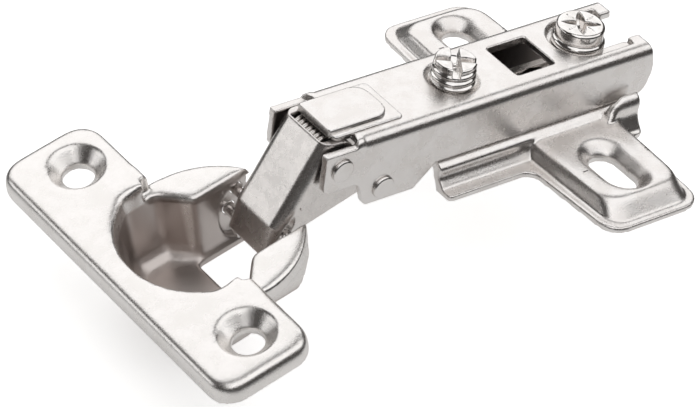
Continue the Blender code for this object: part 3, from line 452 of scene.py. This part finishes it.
def recessed(points: Grid, top: float, depth: Grid) -> Grid:
    """Cut a recess from the top of a turned piece.

    Each height becomes the smaller of itself and the top less the recess's depth there.

    Args:
        points: the piece's grid of points.
        top: height of the flat top.
        depth: depth of the recess at each point, zero outside it.

    Returns:
        The grid with its heights lowered.
    """
    lowered = points.copy()
    floor = np.where(depth > 1e-7, top - depth, np.inf)
    lowered[..., 2] = np.minimum(points[..., 2], floor)
    return lowered


def across(points: Grid, centre: Grid, angle: float) -> tuple[Grid, Grid]:
    """Distances along and square to a line through the axis at an angle from X, in radians."""
    x = points[..., 0] - centre[0]
    y = points[..., 1] - centre[1]
    return (np.abs(x * math.cos(angle) + y * math.sin(angle)),
            np.abs(y * math.cos(angle) - x * math.sin(angle)))


def pressed_copy(node: str, grid_mm: float, rounds: int,
                 form: Callable[[Grid], Grid] | None = None,
                 drawn: Callable[[Grid], Grid] | None = None,
                 drawn_rounds: int = 0, plugs: tuple[Matrix, ...] = ()) -> Object:
    """Copy a node of the frame and give it the soft edges of tumbled sheet metal.

    The merged copy is laid on a regular grid of small cells. A forming function may then move
    the points. Each point is moved half way to the mean of its neighbours several times, which
    rounds an edge to about the cell size times the square root of the number of rounds, and
    more often where the drawn function gives weight.

    Args:
        node: the frame's node.
        grid_mm: cell size, in millimetres.
        rounds: how often the points are averaged.
        form: gives new points for points in metres.
        drawn: gives each point a weight from 0 to 1 for more rounding.
        drawn_rounds: how often the weighted points are averaged.
        plugs: each turns a unit cube into a block that is merged with the node, to close a
            slit narrower than two cells.

    Returns:
        The new object, at the origin, with the averaging as live modifiers.
    """
    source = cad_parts[node]
    work = bmesh.new()
    work.from_mesh(source.data)
    work.transform(source.matrix_world)
    bmesh.ops.remove_doubles(work, verts=work.verts, dist=2e-6)
    for plug in plugs:
        bmesh.ops.create_cube(work, size=1.0, matrix=plug)
    rough = bpy.data.meshes.new(node + "_merged")
    work.to_mesh(rough)
    work.free()
    carrier = as_object(node + "_merged", rough)
    cells = carrier.modifiers.new("cells", "REMESH")
    cells.mode = "VOXEL"
    cells.voxel_size = grid_mm * MM
    cells.adaptivity = 0.0
    cells.use_smooth_shade = True
    graph = bpy.context.evaluated_depsgraph_get()
    mesh = bpy.data.meshes.new_from_object(carrier.evaluated_get(graph))
    mesh.name = node + "_pressed"
    bpy.data.objects.remove(carrier)
    bpy.data.meshes.remove(rough)
    points = np.empty((len(mesh.vertices), 3))
    mesh.vertices.foreach_get("co", points.ravel())
    if form is not None:
        points = form(points)
        mesh.vertices.foreach_set("co", points.ravel())
    piece = as_object(node + "_pressed", mesh)
    if drawn is not None:
        weights = np.clip(np.round(drawn(points) * WEIGHT_LEVELS) / WEIGHT_LEVELS, 0.0, 1.0)
        group = piece.vertex_groups.new(name="drawn")
        for level in np.unique(weights[weights > 0.0]):
            chosen = np.flatnonzero(weights == level)
            group.add(chosen.tolist(), float(level), "REPLACE")
        draw = piece.modifiers.new("drawing", "SMOOTH")
        draw.vertex_group = "drawn"
        draw.factor = 0.5
        draw.iterations = drawn_rounds
    soften = piece.modifiers.new("tumbling", "SMOOTH")
    soften.factor = 0.5
    soften.iterations = rounds
    return piece


def place(piece: Object, carrier: Carrier, finish: PlatedMetal, node: str,
          whole: bool = True) -> None:
    """Dress a piece and hang it on its body.

    Args:
        piece: the finished object, at the origin, without a material.
        carrier: the body it rides on.
        finish: the finish it gets.
        node: the frame's node whose material slot it takes.
        whole: it stands for that node.
    """
    piece.data.materials.append(finish.material())
    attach(piece, carrier.value)
    if whole:
        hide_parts(node)
    LOG.info("%s: %d faces on %s", piece.name, len(piece.data.polygons), carrier.value)


def as_object(name: str, mesh: bpy.types.Mesh) -> Object:
    """Link a mesh to the scene as an object at the origin."""
    piece = bpy.data.objects.new(name, mesh)
    bpy.context.scene.collection.objects.link(piece)
    return piece


# ---- sub-assemblies


@dataclass
class MountingPlate:
    """Cross-shaped plate with two slotted wings and the rail under the arm."""

    cell: float = 0.2
    rounds: int = 6
    drawn_rounds: int = 60
    rail_top: float = 4.2 * MM
    hump_top: float = 6.0 * MM
    hump_front: float = 6.3 * MM
    rail_foot: float = 1.3 * MM
    swell: float = 0.50 * MM

    def build(self) -> None:
        """Build the plate with its rolled rails and pressed edges."""
        plate = pressed_copy("mounting_plate", self.cell, self.rounds, self.roll, self.drawn,
                             self.drawn_rounds)
        place(plate, Carrier.PLATE, CHANNEL_NICKEL, "mounting_plate")

    def roll(self, points: Grid) -> Grid:
        """Roll the rail's straight flanks into an S.

        With t from 0 at the rail's top to 1 at its foot, a flank moves outwards by the swell
        times sin(2 pi t) times (1 - 0.6 t), fading out 8 to 9 mm from the middle.

        Args:
            points: the plate's points, in metres.

        Returns:
            The moved points.
        """
        x, y, z = points.T
        top = self.rail_top + (self.hump_top - self.rail_top) * smoothstep(
            self.hump_front - 0.3 * MM, self.hump_front + 0.3 * MM, x)
        t = np.clip((top - z) / (top - self.rail_foot), 0.0, 1.0)
        near = (smoothstep(5.6 * MM, 6.2 * MM, np.abs(y))
                * (1.0 - smoothstep(8.2 * MM, 9.0 * MM, np.abs(y))))
        move = self.swell * np.sin(2.0 * math.pi * t) * (1.0 - 0.6 * t) * near
        return np.stack([x, y + np.sign(y) * move, z], axis=1)

    def drawn(self, points: Grid) -> Grid:
        """Weight for the drawn upper edges: whole on the wings, a third on the rail's flanks."""
        wide = np.abs(points[:, 1])
        return (smoothstep(1.3 * MM, 1.9 * MM, points[:, 2]) * smoothstep(6.2 * MM, 6.8 * MM, wide)
                * (0.35 + 0.65 * smoothstep(8.6 * MM, 9.6 * MM, wide)))


@dataclass
class HingeArm:
    """Channel-shaped arm with its raised cover."""

    cell: float = 0.18
    rounds: int = 4
    half_width: float = 6.32 * MM
    top: float = 12.18 * MM
    bend: float = 1.5 * MM
    bend_front: float = -36.4 * MM

    def build(self) -> None:
        """Build the arm with its bends and pressed edges."""
        arm = pressed_copy("hinge_arm", self.cell, self.rounds, self.fold)
        place(arm, Carrier.ARM, CHANNEL_NICKEL, "hinge_arm")

    def fold(self, points: Grid) -> Grid:
        """Round the channel's two upper corners.

        A point beyond the bend's axis both outwards and upwards, and further from it than the
        bend's radius, is brought back to that radius.

        Args:
            points: the arm's points, in metres.

        Returns:
            The moved points.
        """
        x, y, z = points.T
        out = np.abs(y) - (self.half_width - self.bend)
        up = z - (self.top - self.bend)
        length = np.hypot(out, up)
        corner = (out > 0.0) & (up > 0.0) & (length > self.bend) & (up < self.bend * 1.02)
        scale = np.where(corner, self.bend / np.maximum(length, 1e-9), 1.0)
        share = smoothstep(self.bend_front - 0.3 * MM, self.bend_front + 0.3 * MM, x)
        scale = 1.0 + (scale - 1.0) * share
        new_y = np.sign(y) * (self.half_width - self.bend + out * scale)
        new_z = self.top - self.bend + up * scale
        return np.stack([x, np.where(corner, new_y, y), np.where(corner, new_z, z)], axis=1)


@dataclass
class CoverBorder:
    """The low pressed step that frames the arm's raised cover on its rear and near sides."""

    low: tuple[float, float] = (-40.3 * MM, -4.35 * MM)
    high: tuple[float, float] = (-28.9 * MM, 4.0 * MM)
    corner: float = 0.7 * MM
    foot: float = 11.9 * MM
    top: float = 12.43 * MM
    edge: float = 0.16 * MM

    def build(self) -> None:
        """Carry a rounded outline up the step's edge and in to its middle.

        Ring k is the outline shrunk by a distance and raised to a height; the outline is a
        rectangle whose corners are quarter circles.
        """
        turn = np.linspace(0.0, 2.0 * math.pi, 96, endpoint=False)
        middle = (np.array(self.low) + np.array(self.high)) / 2.0
        half = (np.array(self.high) - np.array(self.low)) / 2.0
        steps = ((0.0, self.foot), (0.0, self.top - self.edge),
                 (self.edge * 0.3, self.top - self.edge * 0.3), (self.edge, self.top),
                 (1.2 * MM, self.top), (2.6 * MM, self.top))
        rings = []
        for inset, height in steps:
            core = half - self.corner
            radius = max(self.corner - inset, 0.02 * MM)
            reach = core - max(inset - self.corner, 0.0)
            x = middle[0] + np.sign(np.cos(turn)) * reach[0] + radius * np.cos(turn)
            y = middle[1] + np.sign(np.sin(turn)) * reach[1] + radius * np.sin(turn)
            rings.append(np.stack([x, y, np.full_like(x, height)], axis=1))
        border = grid_object("cover_border", np.stack(rings))
        place(border, Carrier.ARM, PRESSED_NICKEL, "hinge_arm", False)


@dataclass
class LinkPair:
    """The outer link with its web towards the cup, and the inner link behind it."""

    cell: float = 0.12
    rounds: int = 4
    pivot: tuple[float, float] = (-39.85 * MM, 8.51 * MM)
    lean: float = math.radians(23.9)
    toe_lean: float = math.radians(12.6)
    setback: float = 3.925 * MM
    half_width: float = 4.6 * MM
    bend: float = 1.75 * MM
    knee: float = 7.96 * MM
    toe: float = 12.3 * MM
    end: float = 16.4 * MM
    reach: float = 3.1 * MM
    rake: float = 0.08
    coined: float = 0.46

    def build(self) -> None:
        """Build both links with their blanked edges."""
        outer = pressed_copy("outer_link", self.cell, self.rounds, self.fold)
        place(outer, Carrier.FRONT_LINK, LINK_NICKEL, "outer_link")
        inner = pressed_copy("inner_link", self.cell, self.rounds)
        place(inner, Carrier.REAR_LINK, LINK_NICKEL, "inner_link")

    def fold(self, points: Grid) -> Grid:
        """Draw the knee down to its full reach and round both folds of the web.

        In the web's own frame s runs down the web and h out of its face. The face's level is 0 at
        the knee and falls away from it: by the rake above, by the toe's lean below. A point of
        the face's sheet moves down by the reach times a smooth step of s, less below the toe.
        Where the spring lies behind the web the sheet is coined to about half its thickness. A
        point beyond a fold's axis both sideways and outwards, and further from it than the
        fold's radius, is brought back to that radius.

        Args:
            points: the link's points, in metres.

        Returns:
            The moved points.
        """
        x, y, z = points[:, 0] - self.pivot[0], points[:, 1], points[:, 2] - self.pivot[1]
        cos, sin = math.cos(self.lean), math.sin(self.lean)
        s = -x * sin - z * cos
        h = -x * cos + z * sin - self.setback
        level = (-self.rake * np.maximum(self.knee - s, 0.0)
                 - np.maximum(s - self.knee, 0.0) * math.tan(self.toe_lean))
        deep = h - level
        face = smoothstep(1.0 * MM, 6.5 * MM, s) * smoothstep(-2.25 * MM, -1.45 * MM, deep)
        beyond = np.clip((s - self.toe) / (self.end - self.toe), 0.0, 1.0)
        s = s + self.reach * face * (1.0 - 0.95 * beyond)
        thin = ((1.0 - smoothstep(3.25 * MM, 3.4 * MM, np.abs(y)))
                * (1.0 - smoothstep(3.0 * MM, 4.5 * MM, s)) * (deep > -1.45 * MM))
        deep = deep * (1.0 - self.coined * thin)
        out = deep + self.bend
        side = np.abs(y) - (self.half_width - self.bend)
        length = np.hypot(out, side)
        corner = (out > 0.0) & (side > 0.0) & (length > self.bend) & (s > -2.6 * MM)
        scale = np.where(corner, self.bend / np.maximum(length, 1e-9), 1.0)
        y = np.where(corner, np.sign(y) * (self.half_width - self.bend + side * scale), y)
        deep = np.where(corner, -self.bend + out * scale, deep)
        h = level + deep + self.setback
        return np.stack([self.pivot[0] - s * sin - h * cos, y,
                         self.pivot[1] - s * cos + h * sin], axis=1)


@dataclass
class HingeCup:
    """Drawn cup with its screw flange."""

    cell: float = 0.225
    rounds: int = 5
    drawn_rounds: int = 84
    pivot: tuple[float, float] = (-46.49 * MM, -4.24 * MM)
    stud: tuple[float, float] = (14.6 * MM, -8.4 * MM)
    hole: float = 19.0 * MM
    middle: float = 7.18 * MM
    mouth: float = 13.0 * MM
    centre: float = -1.225 * MM
    half_deep: float = 7.425 * MM
    half_span: float = 25.8 * MM
    corner: float = 3.5 * MM
    tooth: tuple[float, float] = (5.4 * MM, 12.2 * MM)
    depth: float = 3.4 * MM
    slit: tuple[float, float, float] = (5.05 * MM, 12.33 * MM, -1.8 * MM)
    plug: tuple[float, float, float] = (1.1 * MM, 1.5 * MM, 2.4 * MM)

    def build(self) -> None:
        """Build the cup with its drawn mouth, a plug in the slit on each side, and soft edges."""
        turn = Matrix.Rotation(-CUP_TURN, 4, "Y")
        plugs = []
        for side in (-1.0, 1.0):
            off = turn @ Vector((self.slit[0] - self.stud[0], side * self.slit[1],
                                 self.slit[2] - self.stud[1]))
            at = Vector((self.pivot[0], 0.0, self.pivot[1])) + off
            plugs.append(Matrix.Translation(at) @ turn @ Matrix.Diagonal((*self.plug, 1.0)))
        cup = pressed_copy("hinge_cup", self.cell, self.rounds, None, self.drawn,
                           self.drawn_rounds, tuple(plugs))
        place(cup, Carrier.CUP, CUP_NICKEL, "hinge_cup")

    def drawn(self, points: Grid) -> Grid:
        """Weight for the drawn edges of flange, mouth and ears.

        The outer faces of the flange's sheet count, found by their distance from its rounded
        outline and from its top, and so does all inside the drum and beyond the ears' roots.
        The screw holes and the flange's ends beside the mouth keep their pressed corners.

        Args:
            points: the cup's points, in metres.

        Returns:
            One weight for each point, 1 in the flange's depth and 0 below it.
        """
        x = points[:, 0] - self.pivot[0]
        z = points[:, 2] - self.pivot[1]
        u = x * math.cos(CUP_TURN) + z * math.sin(CUP_TURN) + self.stud[0]
        n = -x * math.sin(CUP_TURN) + z * math.cos(CUP_TURN) + self.stud[1]
        y = np.abs(points[:, 1])
        past_side = np.maximum(np.abs(u - self.centre) - self.half_deep + self.corner, 0.0)
        past_end = np.maximum(y - self.half_span + self.corner, 0.0)
        rim = np.hypot(past_side, past_end) - self.corner
        outside = np.maximum(smoothstep(-0.6 * MM, -0.3 * MM, rim),
                             smoothstep(-0.8 * MM, -0.5 * MM, n))
        drum = 1.0 - smoothstep(self.mouth - 0.5 * MM, self.mouth, np.hypot(u - self.middle, y))
        outside = np.maximum(np.maximum(outside, drum), smoothstep(6.2 * MM, 7.2 * MM, u))
        hole = np.hypot(u, y - self.hole)
        tooth = np.hypot(u - self.tooth[0], y - self.tooth[1])
        plain = ((0.12 + 0.88 * smoothstep(4.4 * MM, 5.4 * MM, hole))
                 * (0.12 + 0.88 * smoothstep(1.8 * MM, 3.2 * MM, tooth)))
        return outside * plain * smoothstep(-self.depth, -self.depth + 0.8 * MM, n)


@dataclass
class SideScrew:
    """Side adjusting screw: button foot, neck, thread and the slotted barrel above the arm."""

    axis_x: float = -17.29 * MM
    top: float = 15.2 * MM
    collar: float = 11.93 * MM
    barrel_top: float = 2.86 * MM
    barrel_foot: float = 3.14 * MM
    pitch: float = 0.94 * MM
    thread_depth: float = 0.34 * MM
    slot_turn: float = math.radians(56.0)
    slot_width: float = 1.14 * MM
    slot_depth: float = 1.45 * MM
    dimple_depth: float = 0.55 * MM
    count: int = 240

    def build(self) -> None:
        """Turn the profile, run the thread round it and cut the crossed slots.

        The barrel tapers from its foot to its top. The slots take the top down where the distance
        from either middle line is less than half their width; a dimple lies where they cross.
        """
        edge = 0.16 * MM
        profile = dense([(1.7 * MM, 0.0), (1.7 * MM, 2.2 * MM), (1.9 * MM, 2.4 * MM),
                         (2.4 * MM, 2.4 * MM), (2.6 * MM, 2.2 * MM), (2.6 * MM, 1.4 * MM),
                         (4.7 * MM, 1.4 * MM), (5.1 * MM, 2.3 * MM), (self.collar, 2.3 * MM),
                         (self.collar, self.barrel_foot - edge),
                         (self.collar + edge, self.barrel_foot),
                         (self.top - edge, self.barrel_top), (self.top, self.barrel_top - edge),
                         (self.top, 0.02 * MM)], 0.09 * MM)
        centre = np.array([self.axis_x, 0.0, 0.0])
        points = lathe(centre, np.array([0.0, 0.0, 1.0]), profile, self.count)
        height = points[..., 2]
        radius = np.hypot(points[..., 0] - centre[0], points[..., 1])
        upper = (smoothstep(self.collar + 0.1 * MM, self.collar + 0.4 * MM, height)
                 * (1.0 - smoothstep(self.top - 0.62 * MM, self.top - 0.3 * MM, height))
                 * (radius > 2.5 * MM))
        lower = (smoothstep(5.0 * MM, 5.6 * MM, height)
                 * (1.0 - smoothstep(11.2 * MM, 11.8 * MM, height)) * (radius > 2.1 * MM))
        points = run_thread(points, centre, self.pitch, self.thread_depth * (upper + lower), 1.6)
        cut = np.zeros_like(height)
        half = self.slot_width / 2.0
        for turn in (self.slot_turn, self.slot_turn - math.pi / 2.0):
            off = across(points, centre, turn)[1]
            inside = 1.0 - smoothstep(half - 0.04 * MM, half + 0.04 * MM, off)
            cut = np.maximum(cut, inside * self.slot_depth)
        cut = np.where(height > self.top - self.slot_depth - 0.2 * MM, cut, 0.0)
        dimple = self.dimple_depth * (1.0 - smoothstep(0.75 * MM, 0.95 * MM, radius))
        cut = cut + np.where(height > self.collar + 1.0 * MM, dimple, 0.0)
        points = recessed(points, self.top, cut)
        place(grid_object("side_screw_turned", points), Carrier.SIDE_SCREW, SCREW_NICKEL,
              "side_adjusting_screw")


@dataclass
class FixingScrew:
    """Fixing screw: pointed tip, thread, a low collar and a rounded head with a cross recess."""

    axis_x: float = 4.68 * MM
    tip: float = 0.8 * MM
    seat: float = 11.5 * MM
    top: float = 14.5 * MM
    collar_radius: float = 3.7 * MM
    head_radius: float = 3.36 * MM
    thread_radius: float = 2.0 * MM
    thread_depth: float = 0.3 * MM
    pitch: float = 0.8 * MM
    recess_turn: float = math.radians(56.0)
    recess_reach: float = 2.75 * MM
    recess_half: float = 0.62 * MM
    recess_depth: float = 1.9 * MM
    tick_depth: float = 0.10 * MM
    count: int = 240

    def build(self) -> None:
        """Turn the profile, run the thread round it and press the recess.

        The recess's half width falls as 1 - (distance / reach) cubed and its depth as
        1 - 0.55 (distance / reach) squared, with steep sides; four fine ticks lie between arms.
        """
        shank, collar, seat = self.thread_radius, self.collar_radius, self.seat
        profile = dense([(self.tip, 0.0), (self.tip, 1.2 * MM), (self.tip + 0.8 * MM, shank),
                         (seat, shank), (seat, 3.58 * MM), (seat + 0.14 * MM, collar),
                         (seat + 0.66 * MM, collar), (seat + 0.86 * MM, 3.58 * MM),
                         (seat + 1.08 * MM, self.head_radius), (seat + 1.2 * MM, 3.34 * MM),
                         (self.top - 0.34 * MM, 3.34 * MM),
                         (self.top - 0.2 * MM, 3.28 * MM), (self.top - 0.06 * MM, 3.12 * MM),
                         (self.top, 2.92 * MM), (self.top, 0.02 * MM)], 0.09 * MM)
        centre = np.array([self.axis_x, 0.0, 0.0])
        points = lathe(centre, np.array([0.0, 0.0, 1.0]), profile, self.count)
        height = points[..., 2]
        radius = np.hypot(points[..., 0] - centre[0], points[..., 1])
        threaded = (smoothstep(self.tip + 0.8 * MM, self.tip + 1.4 * MM, height)
                    * (1.0 - smoothstep(seat - 0.8 * MM, seat - 0.3 * MM, height))
                    * (np.abs(radius - shank) < 0.2 * MM))
        points = run_thread(points, centre, self.pitch, self.thread_depth * threaded, 1.0)
        cut = np.zeros_like(height)
        for turn in (self.recess_turn, self.recess_turn - math.pi / 2.0):
            along, off = across(points, centre, turn)
            share = np.clip(along / self.recess_reach, 0.0, 1.0)
            half = self.recess_half * (1.0 - share ** 3)
            deep = self.recess_depth * (1.0 - 0.55 * share ** 2)
            cut = np.maximum(cut, np.minimum(deep, np.maximum(half - off, 0.0) * 7.0))
        for turn in (self.recess_turn - math.pi / 4.0, self.recess_turn + math.pi / 4.0):
            along, off = across(points, centre, turn)
            tick = ((1.0 - smoothstep(0.05 * MM, 0.13 * MM, off))
                    * smoothstep(1.2 * MM, 1.4 * MM, along)
                    * (1.0 - smoothstep(2.4 * MM, 2.7 * MM, along)))
            cut = np.maximum(cut, tick * self.tick_depth)
        cut = np.where(height > seat + 0.9 * MM, cut, 0.0)
        points = recessed(points, self.top, cut)
        place(grid_object("fixing_screw_turned", points), Carrier.FIXING_SCREW, SCREW_NICKEL,
              "fixing_screw")


@dataclass
class TorsionSpring:
    """Torsion spring wound round the front pin, one leg under the arm and one on the link."""

    pivot: tuple[float, float, float] = (-39.85 * MM, 0.0, 8.51 * MM)
    wire: float = 0.75 * MM
    coil: float = 5.2 * MM
    turns: float = 7.3
    pitch: float = 0.81 * MM
    lean: float = math.radians(-6.0)
    arm_leg: float = 5.2 * MM
    link_leg: float = 3.0 * MM

    def build(self) -> None:
        """Carry a circle along the coil and its two straight legs.

        The centre line is the pivot plus half the coil's size at an angle that starts square to
        the leg and falls one turn per pitch along Y; each leg runs on along its end's tangent.
        """
        steps = int(48 * self.turns)
        start = math.pi / 2.0 + self.lean
        share = np.linspace(0.0, 1.0, steps)
        angle = start - 2.0 * math.pi * self.turns * share
        wide = self.turns * self.pitch
        coil = np.stack([self.pivot[0] + self.coil / 2.0 * np.cos(angle),
                         -wide / 2.0 + wide * share,
                         self.pivot[2] + self.coil / 2.0 * np.sin(angle)], axis=1)
        tail = np.array([math.cos(self.lean), 0.0, math.sin(self.lean)])
        leave = (coil[-1] - coil[-2]) * (1.0, 0.0, 1.0)
        leave /= np.linalg.norm(leave)
        first = np.linspace(1.0, 0.0, 14, endpoint=False)[:, None] * self.arm_leg
        last = np.linspace(0.0, 1.0, 9)[1:, None] * self.link_leg
        path = np.concatenate([coil[0] + first * tail, coil, coil[-1] + last * leave])
        spring = grid_object("spring_wire", tube(path, self.wire / 2.0))
        place(spring, Carrier.ARM, SPRING_WIRE_NICKEL, "torsion_spring")


@dataclass
class PivotPins:
    """The arm's two riveted pins, each with softly rounded heads."""

    crown: float = 0.16 * MM
    shank: float = 1.3 * MM
    head_height: float = 0.48 * MM
    count: int = 64

    def build(self) -> None:
        """Turn each pin along Y from the frame's own size and place."""
        for name in ("arm_front_pin", "arm_rear_pin"):
            low, high = (np.array(corner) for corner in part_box(name))
            size, soft = high - low, self.crown
            half, head = size[1] / 2.0, min(size[0], size[2]) / 2.0
            side = [(0.0, self.shank), (half - self.head_height, self.shank),
                    (half - self.head_height, head), (half - soft * 1.4, head),
                    (half - soft * 0.75, head - soft * 0.35), (half - soft * 0.3, head - soft),
                    (half - soft * 0.08, head - soft * 2.2), (half, head - soft * 4.5),
                    (half, 0.02 * MM)]
            right = dense(side, 0.12 * MM)
            left = right[::-1] * np.array([-1.0, 1.0])
            points = lathe((low + high) / 2.0, np.array([0.0, 1.0, 0.0]),
                           np.concatenate([left[:-1], right]), self.count)
            pin = grid_object(name + "_turned", points)
            place(pin, Carrier.ARM, PRESSED_NICKEL, name)


@dataclass
class CupPins:
    """The cup's own pin and studs, hidden by the links, which keep the frame's shape."""

    names: tuple[str, ...] = ("cup_pin", "cup_stud_near", "cup_stud_far")

    def build(self) -> None:
        """Give each its finish."""
        for name in self.names:
            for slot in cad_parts[name].material_slots:
                slot.material = SCREW_NICKEL.material()
            LOG.info("%s: dressed as it stands", name)


# ---- studio


@dataclass(frozen=True)
class SoftBox:
    """A rectangular studio light or lit card that faces the hinge.

    Its centre stands at an offset from the aim point, and its level side is either along X or
    square to the line from the aim.
    """

    name: str
    offset: tuple[float, float, float]
    width: float
    height: float
    radiance: float
    along_x: bool = True

    def build(self, aim: Vector) -> None:
        """Add the lamp; its power is radiance times pi times area.

        Args:
            aim: the point it faces, in metres.
        """
        data = bpy.data.lights.new(self.name, "AREA")
        data.shape = "RECTANGLE"
        data.size, data.size_y = self.width, self.height
        data.energy = self.radiance * math.pi * self.width * self.height
        lamp = bpy.data.objects.new(self.name, data)
        back = Vector(self.offset)
        if self.along_x:
            back.x = 0.0
        back.normalize()
        level = Vector((0.0, 0.0, 1.0)).cross(back).normalized()
        turn = Matrix((level, back.cross(level), back)).transposed().to_4x4()
        lamp.matrix_world = Matrix.Translation(aim + Vector(self.offset)) @ turn
        bpy.context.scene.collection.objects.link(lamp)


@dataclass
class Studio:
    """Pale floor, white surround, soft boxes and the photograph's camera."""

    aim: tuple[float, float, float] = (-0.025, 0.0, 0.0)
    floor_drop: float = 0.0006
    surround: float = 0.05
    white_lift: float = 0.24
    near_loss: float = 0.30
    middle: tuple[float, float] = (-0.012, 0.0)
    near_floor: float = 0.045
    far_floor: float = 0.085
    floor_stretch: float = 0.55
    floor_glow: float = 0.35
    floor_dim: float = 0.06
    floor_half: float = 1.5
    photo_width: float = 700.0
    focal_pixels: float = 3856.7255

    def build(self) -> None:
        """Build floor, world, lamps and camera."""
        self.floor()
        self.world()
        for box in (
            SoftBox("box_over_far_side", (0.32, 0.53, 0.49), 1.35, 0.82, 1.14),
            SoftBox("box_over_near_side", (0.25, -0.30, 0.625), 1.60, 0.68, 1.10),
            SoftBox("card_left", (-0.57, 0.41, 0.07), 0.50, 0.36, 1.15, False),
            SoftBox("box_by_camera", (-0.62, -0.55, 0.56), 0.46, 0.36, 0.70, False),
        ):
            box.build(Vector(self.aim))
        self.camera()

    def floor(self) -> None:
        """Lay a pale floor just under the hinge, bright near it and dim far off in reflections."""
        low, _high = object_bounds()
        level = low[2] - self.floor_drop
        corners = ((-1.0, -1.0), (1.0, -1.0), (1.0, 1.0), (-1.0, 1.0))
        mesh = bpy.data.meshes.new("floor")
        mesh.from_pydata([(x * self.floor_half, y * self.floor_half, level) for x, y in corners],
                         [], [(0, 1, 2, 3)])
        made = bpy.data.materials.new("paper_sweep")
        made.use_nodes = True
        tree = made.node_tree
        tree.nodes.clear()
        spot = add_node(tree, "TexCoord").outputs["Object"]
        stretch = (self.floor_stretch, 1.0, 1.0)
        shift = (-self.middle[0] * self.floor_stretch, -self.middle[1], -level)
        centred = add_node(tree, "Mapping", {}, {"Location": shift, "Scale": stretch},
                           {"Vector": spot})
        away = add_node(tree, "VectorMath", {"operation": "LENGTH"}, {},
                        {0: centred.outputs["Vector"]})
        far = add_node(tree, "MapRange", {"interpolation_type": "SMOOTHSTEP"},
                       {"From Min": self.near_floor, "From Max": self.far_floor,
                        "To Min": self.near_loss}, {"Value": away.outputs["Value"]})
        fibre = add_node(tree, "TexNoise", {}, {"Scale": per_mm(0.8), "Detail": 3.0},
                         {"Vector": spot})
        tone = add_node(tree, "Mix", {"data_type": "RGBA"},
                        {6: linear("f8f7f6"), 7: linear("fcfcfb")}, {0: fibre.outputs["Fac"]})
        paper = add_node(tree, "BsdfPrincipled", {}, {"Roughness": 0.9, "Specular IOR Level": 0.1},
                         {"Base Color": tone.outputs[2]})
        seen = add_node(tree, "LightPath")
        glow = add_node(tree, "Math", {"operation": "MULTIPLY_ADD"},
                        {1: self.white_lift, 2: self.floor_glow},
                        {0: seen.outputs["Is Camera Ray"]})
        lift = add_node(tree, "Emission", {}, {}, {"Strength": glow.outputs["Value"]})
        lit = add_node(tree, "AddShader", {}, {},
                       {0: paper.outputs["BSDF"], 1: lift.outputs["Emission"]})
        dim = add_node(tree, "Emission", {}, {"Strength": self.floor_dim})
        mirrored = add_node(tree, "Math", {"operation": "MULTIPLY"}, {},
                            {0: seen.outputs["Is Glossy Ray"], 1: far.outputs["Result"]})
        mix = add_node(tree, "MixShader", {}, {},
                       {0: mirrored.outputs["Value"], 1: lit.outputs["Shader"],
                        2: dim.outputs["Emission"]})
        add_node(tree, "OutputMaterial", {}, {}, {"Surface": mix.outputs["Shader"]})
        mesh.materials.append(made)
        as_object("floor", mesh)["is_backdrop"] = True

    def world(self) -> None:
        """White to the camera, dark to everything else."""
        world = bpy.data.worlds.new("surround")
        bpy.context.scene.world = world
        world.use_nodes = True
        tree = world.node_tree
        tree.nodes.clear()
        seen = add_node(tree, "LightPath")
        white = add_node(tree, "Background", {}, {"Color": linear("ffffff"), "Strength": 1.0})
        dark = add_node(tree, "Background", {},
                        {"Color": linear("fff4ee"), "Strength": self.surround})
        mix = add_node(tree, "MixShader", {}, {},
                       {0: seen.outputs["Is Camera Ray"], 1: dark.outputs["Background"],
                        2: white.outputs["Background"]})
        add_node(tree, "OutputWorld", {}, {}, {"Surface": mix.outputs["Shader"]})

    def camera(self) -> None:
        """Stand the camera where the photograph was taken, from a fit to its outlines."""
        right = Vector((0.7871543, -0.5986527, 0.1483342))
        down = Vector((-0.2665432, -0.5470862, -0.7935058))
        ahead = Vector((0.5561860, 0.5850740, -0.5902081))
        stand = Vector((-0.31527426, -0.29859636, 0.29718875))
        data = bpy.data.cameras.new("photo_camera")
        data.sensor_width = 36.0
        data.sensor_fit = "HORIZONTAL"
        data.lens = self.focal_pixels / self.photo_width * data.sensor_width
        data.clip_start = 0.01
        camera = bpy.data.objects.new("photo_camera", data)
        turn = Matrix((right, -down, -ahead)).transposed().to_4x4()
        camera.matrix_world = Matrix.Translation(stand) @ turn
        bpy.context.scene.collection.objects.link(camera)
        bpy.context.scene.camera = camera
        bpy.context.scene.view_settings.view_transform = "Standard"


def main() -> None:
    """Build the hinge, then its studio."""
    logging.basicConfig(level=logging.INFO, format="%(name)s %(message)s")
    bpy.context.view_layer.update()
    for group in (MountingPlate(), HingeArm(), CoverBorder(), LinkPair(), HingeCup(), SideScrew(),
                  FixingScrew(), TorsionSpring(), PivotPins(), CupPins(), Studio()):
        group.build()


if __name__ == "__main__":
    main()
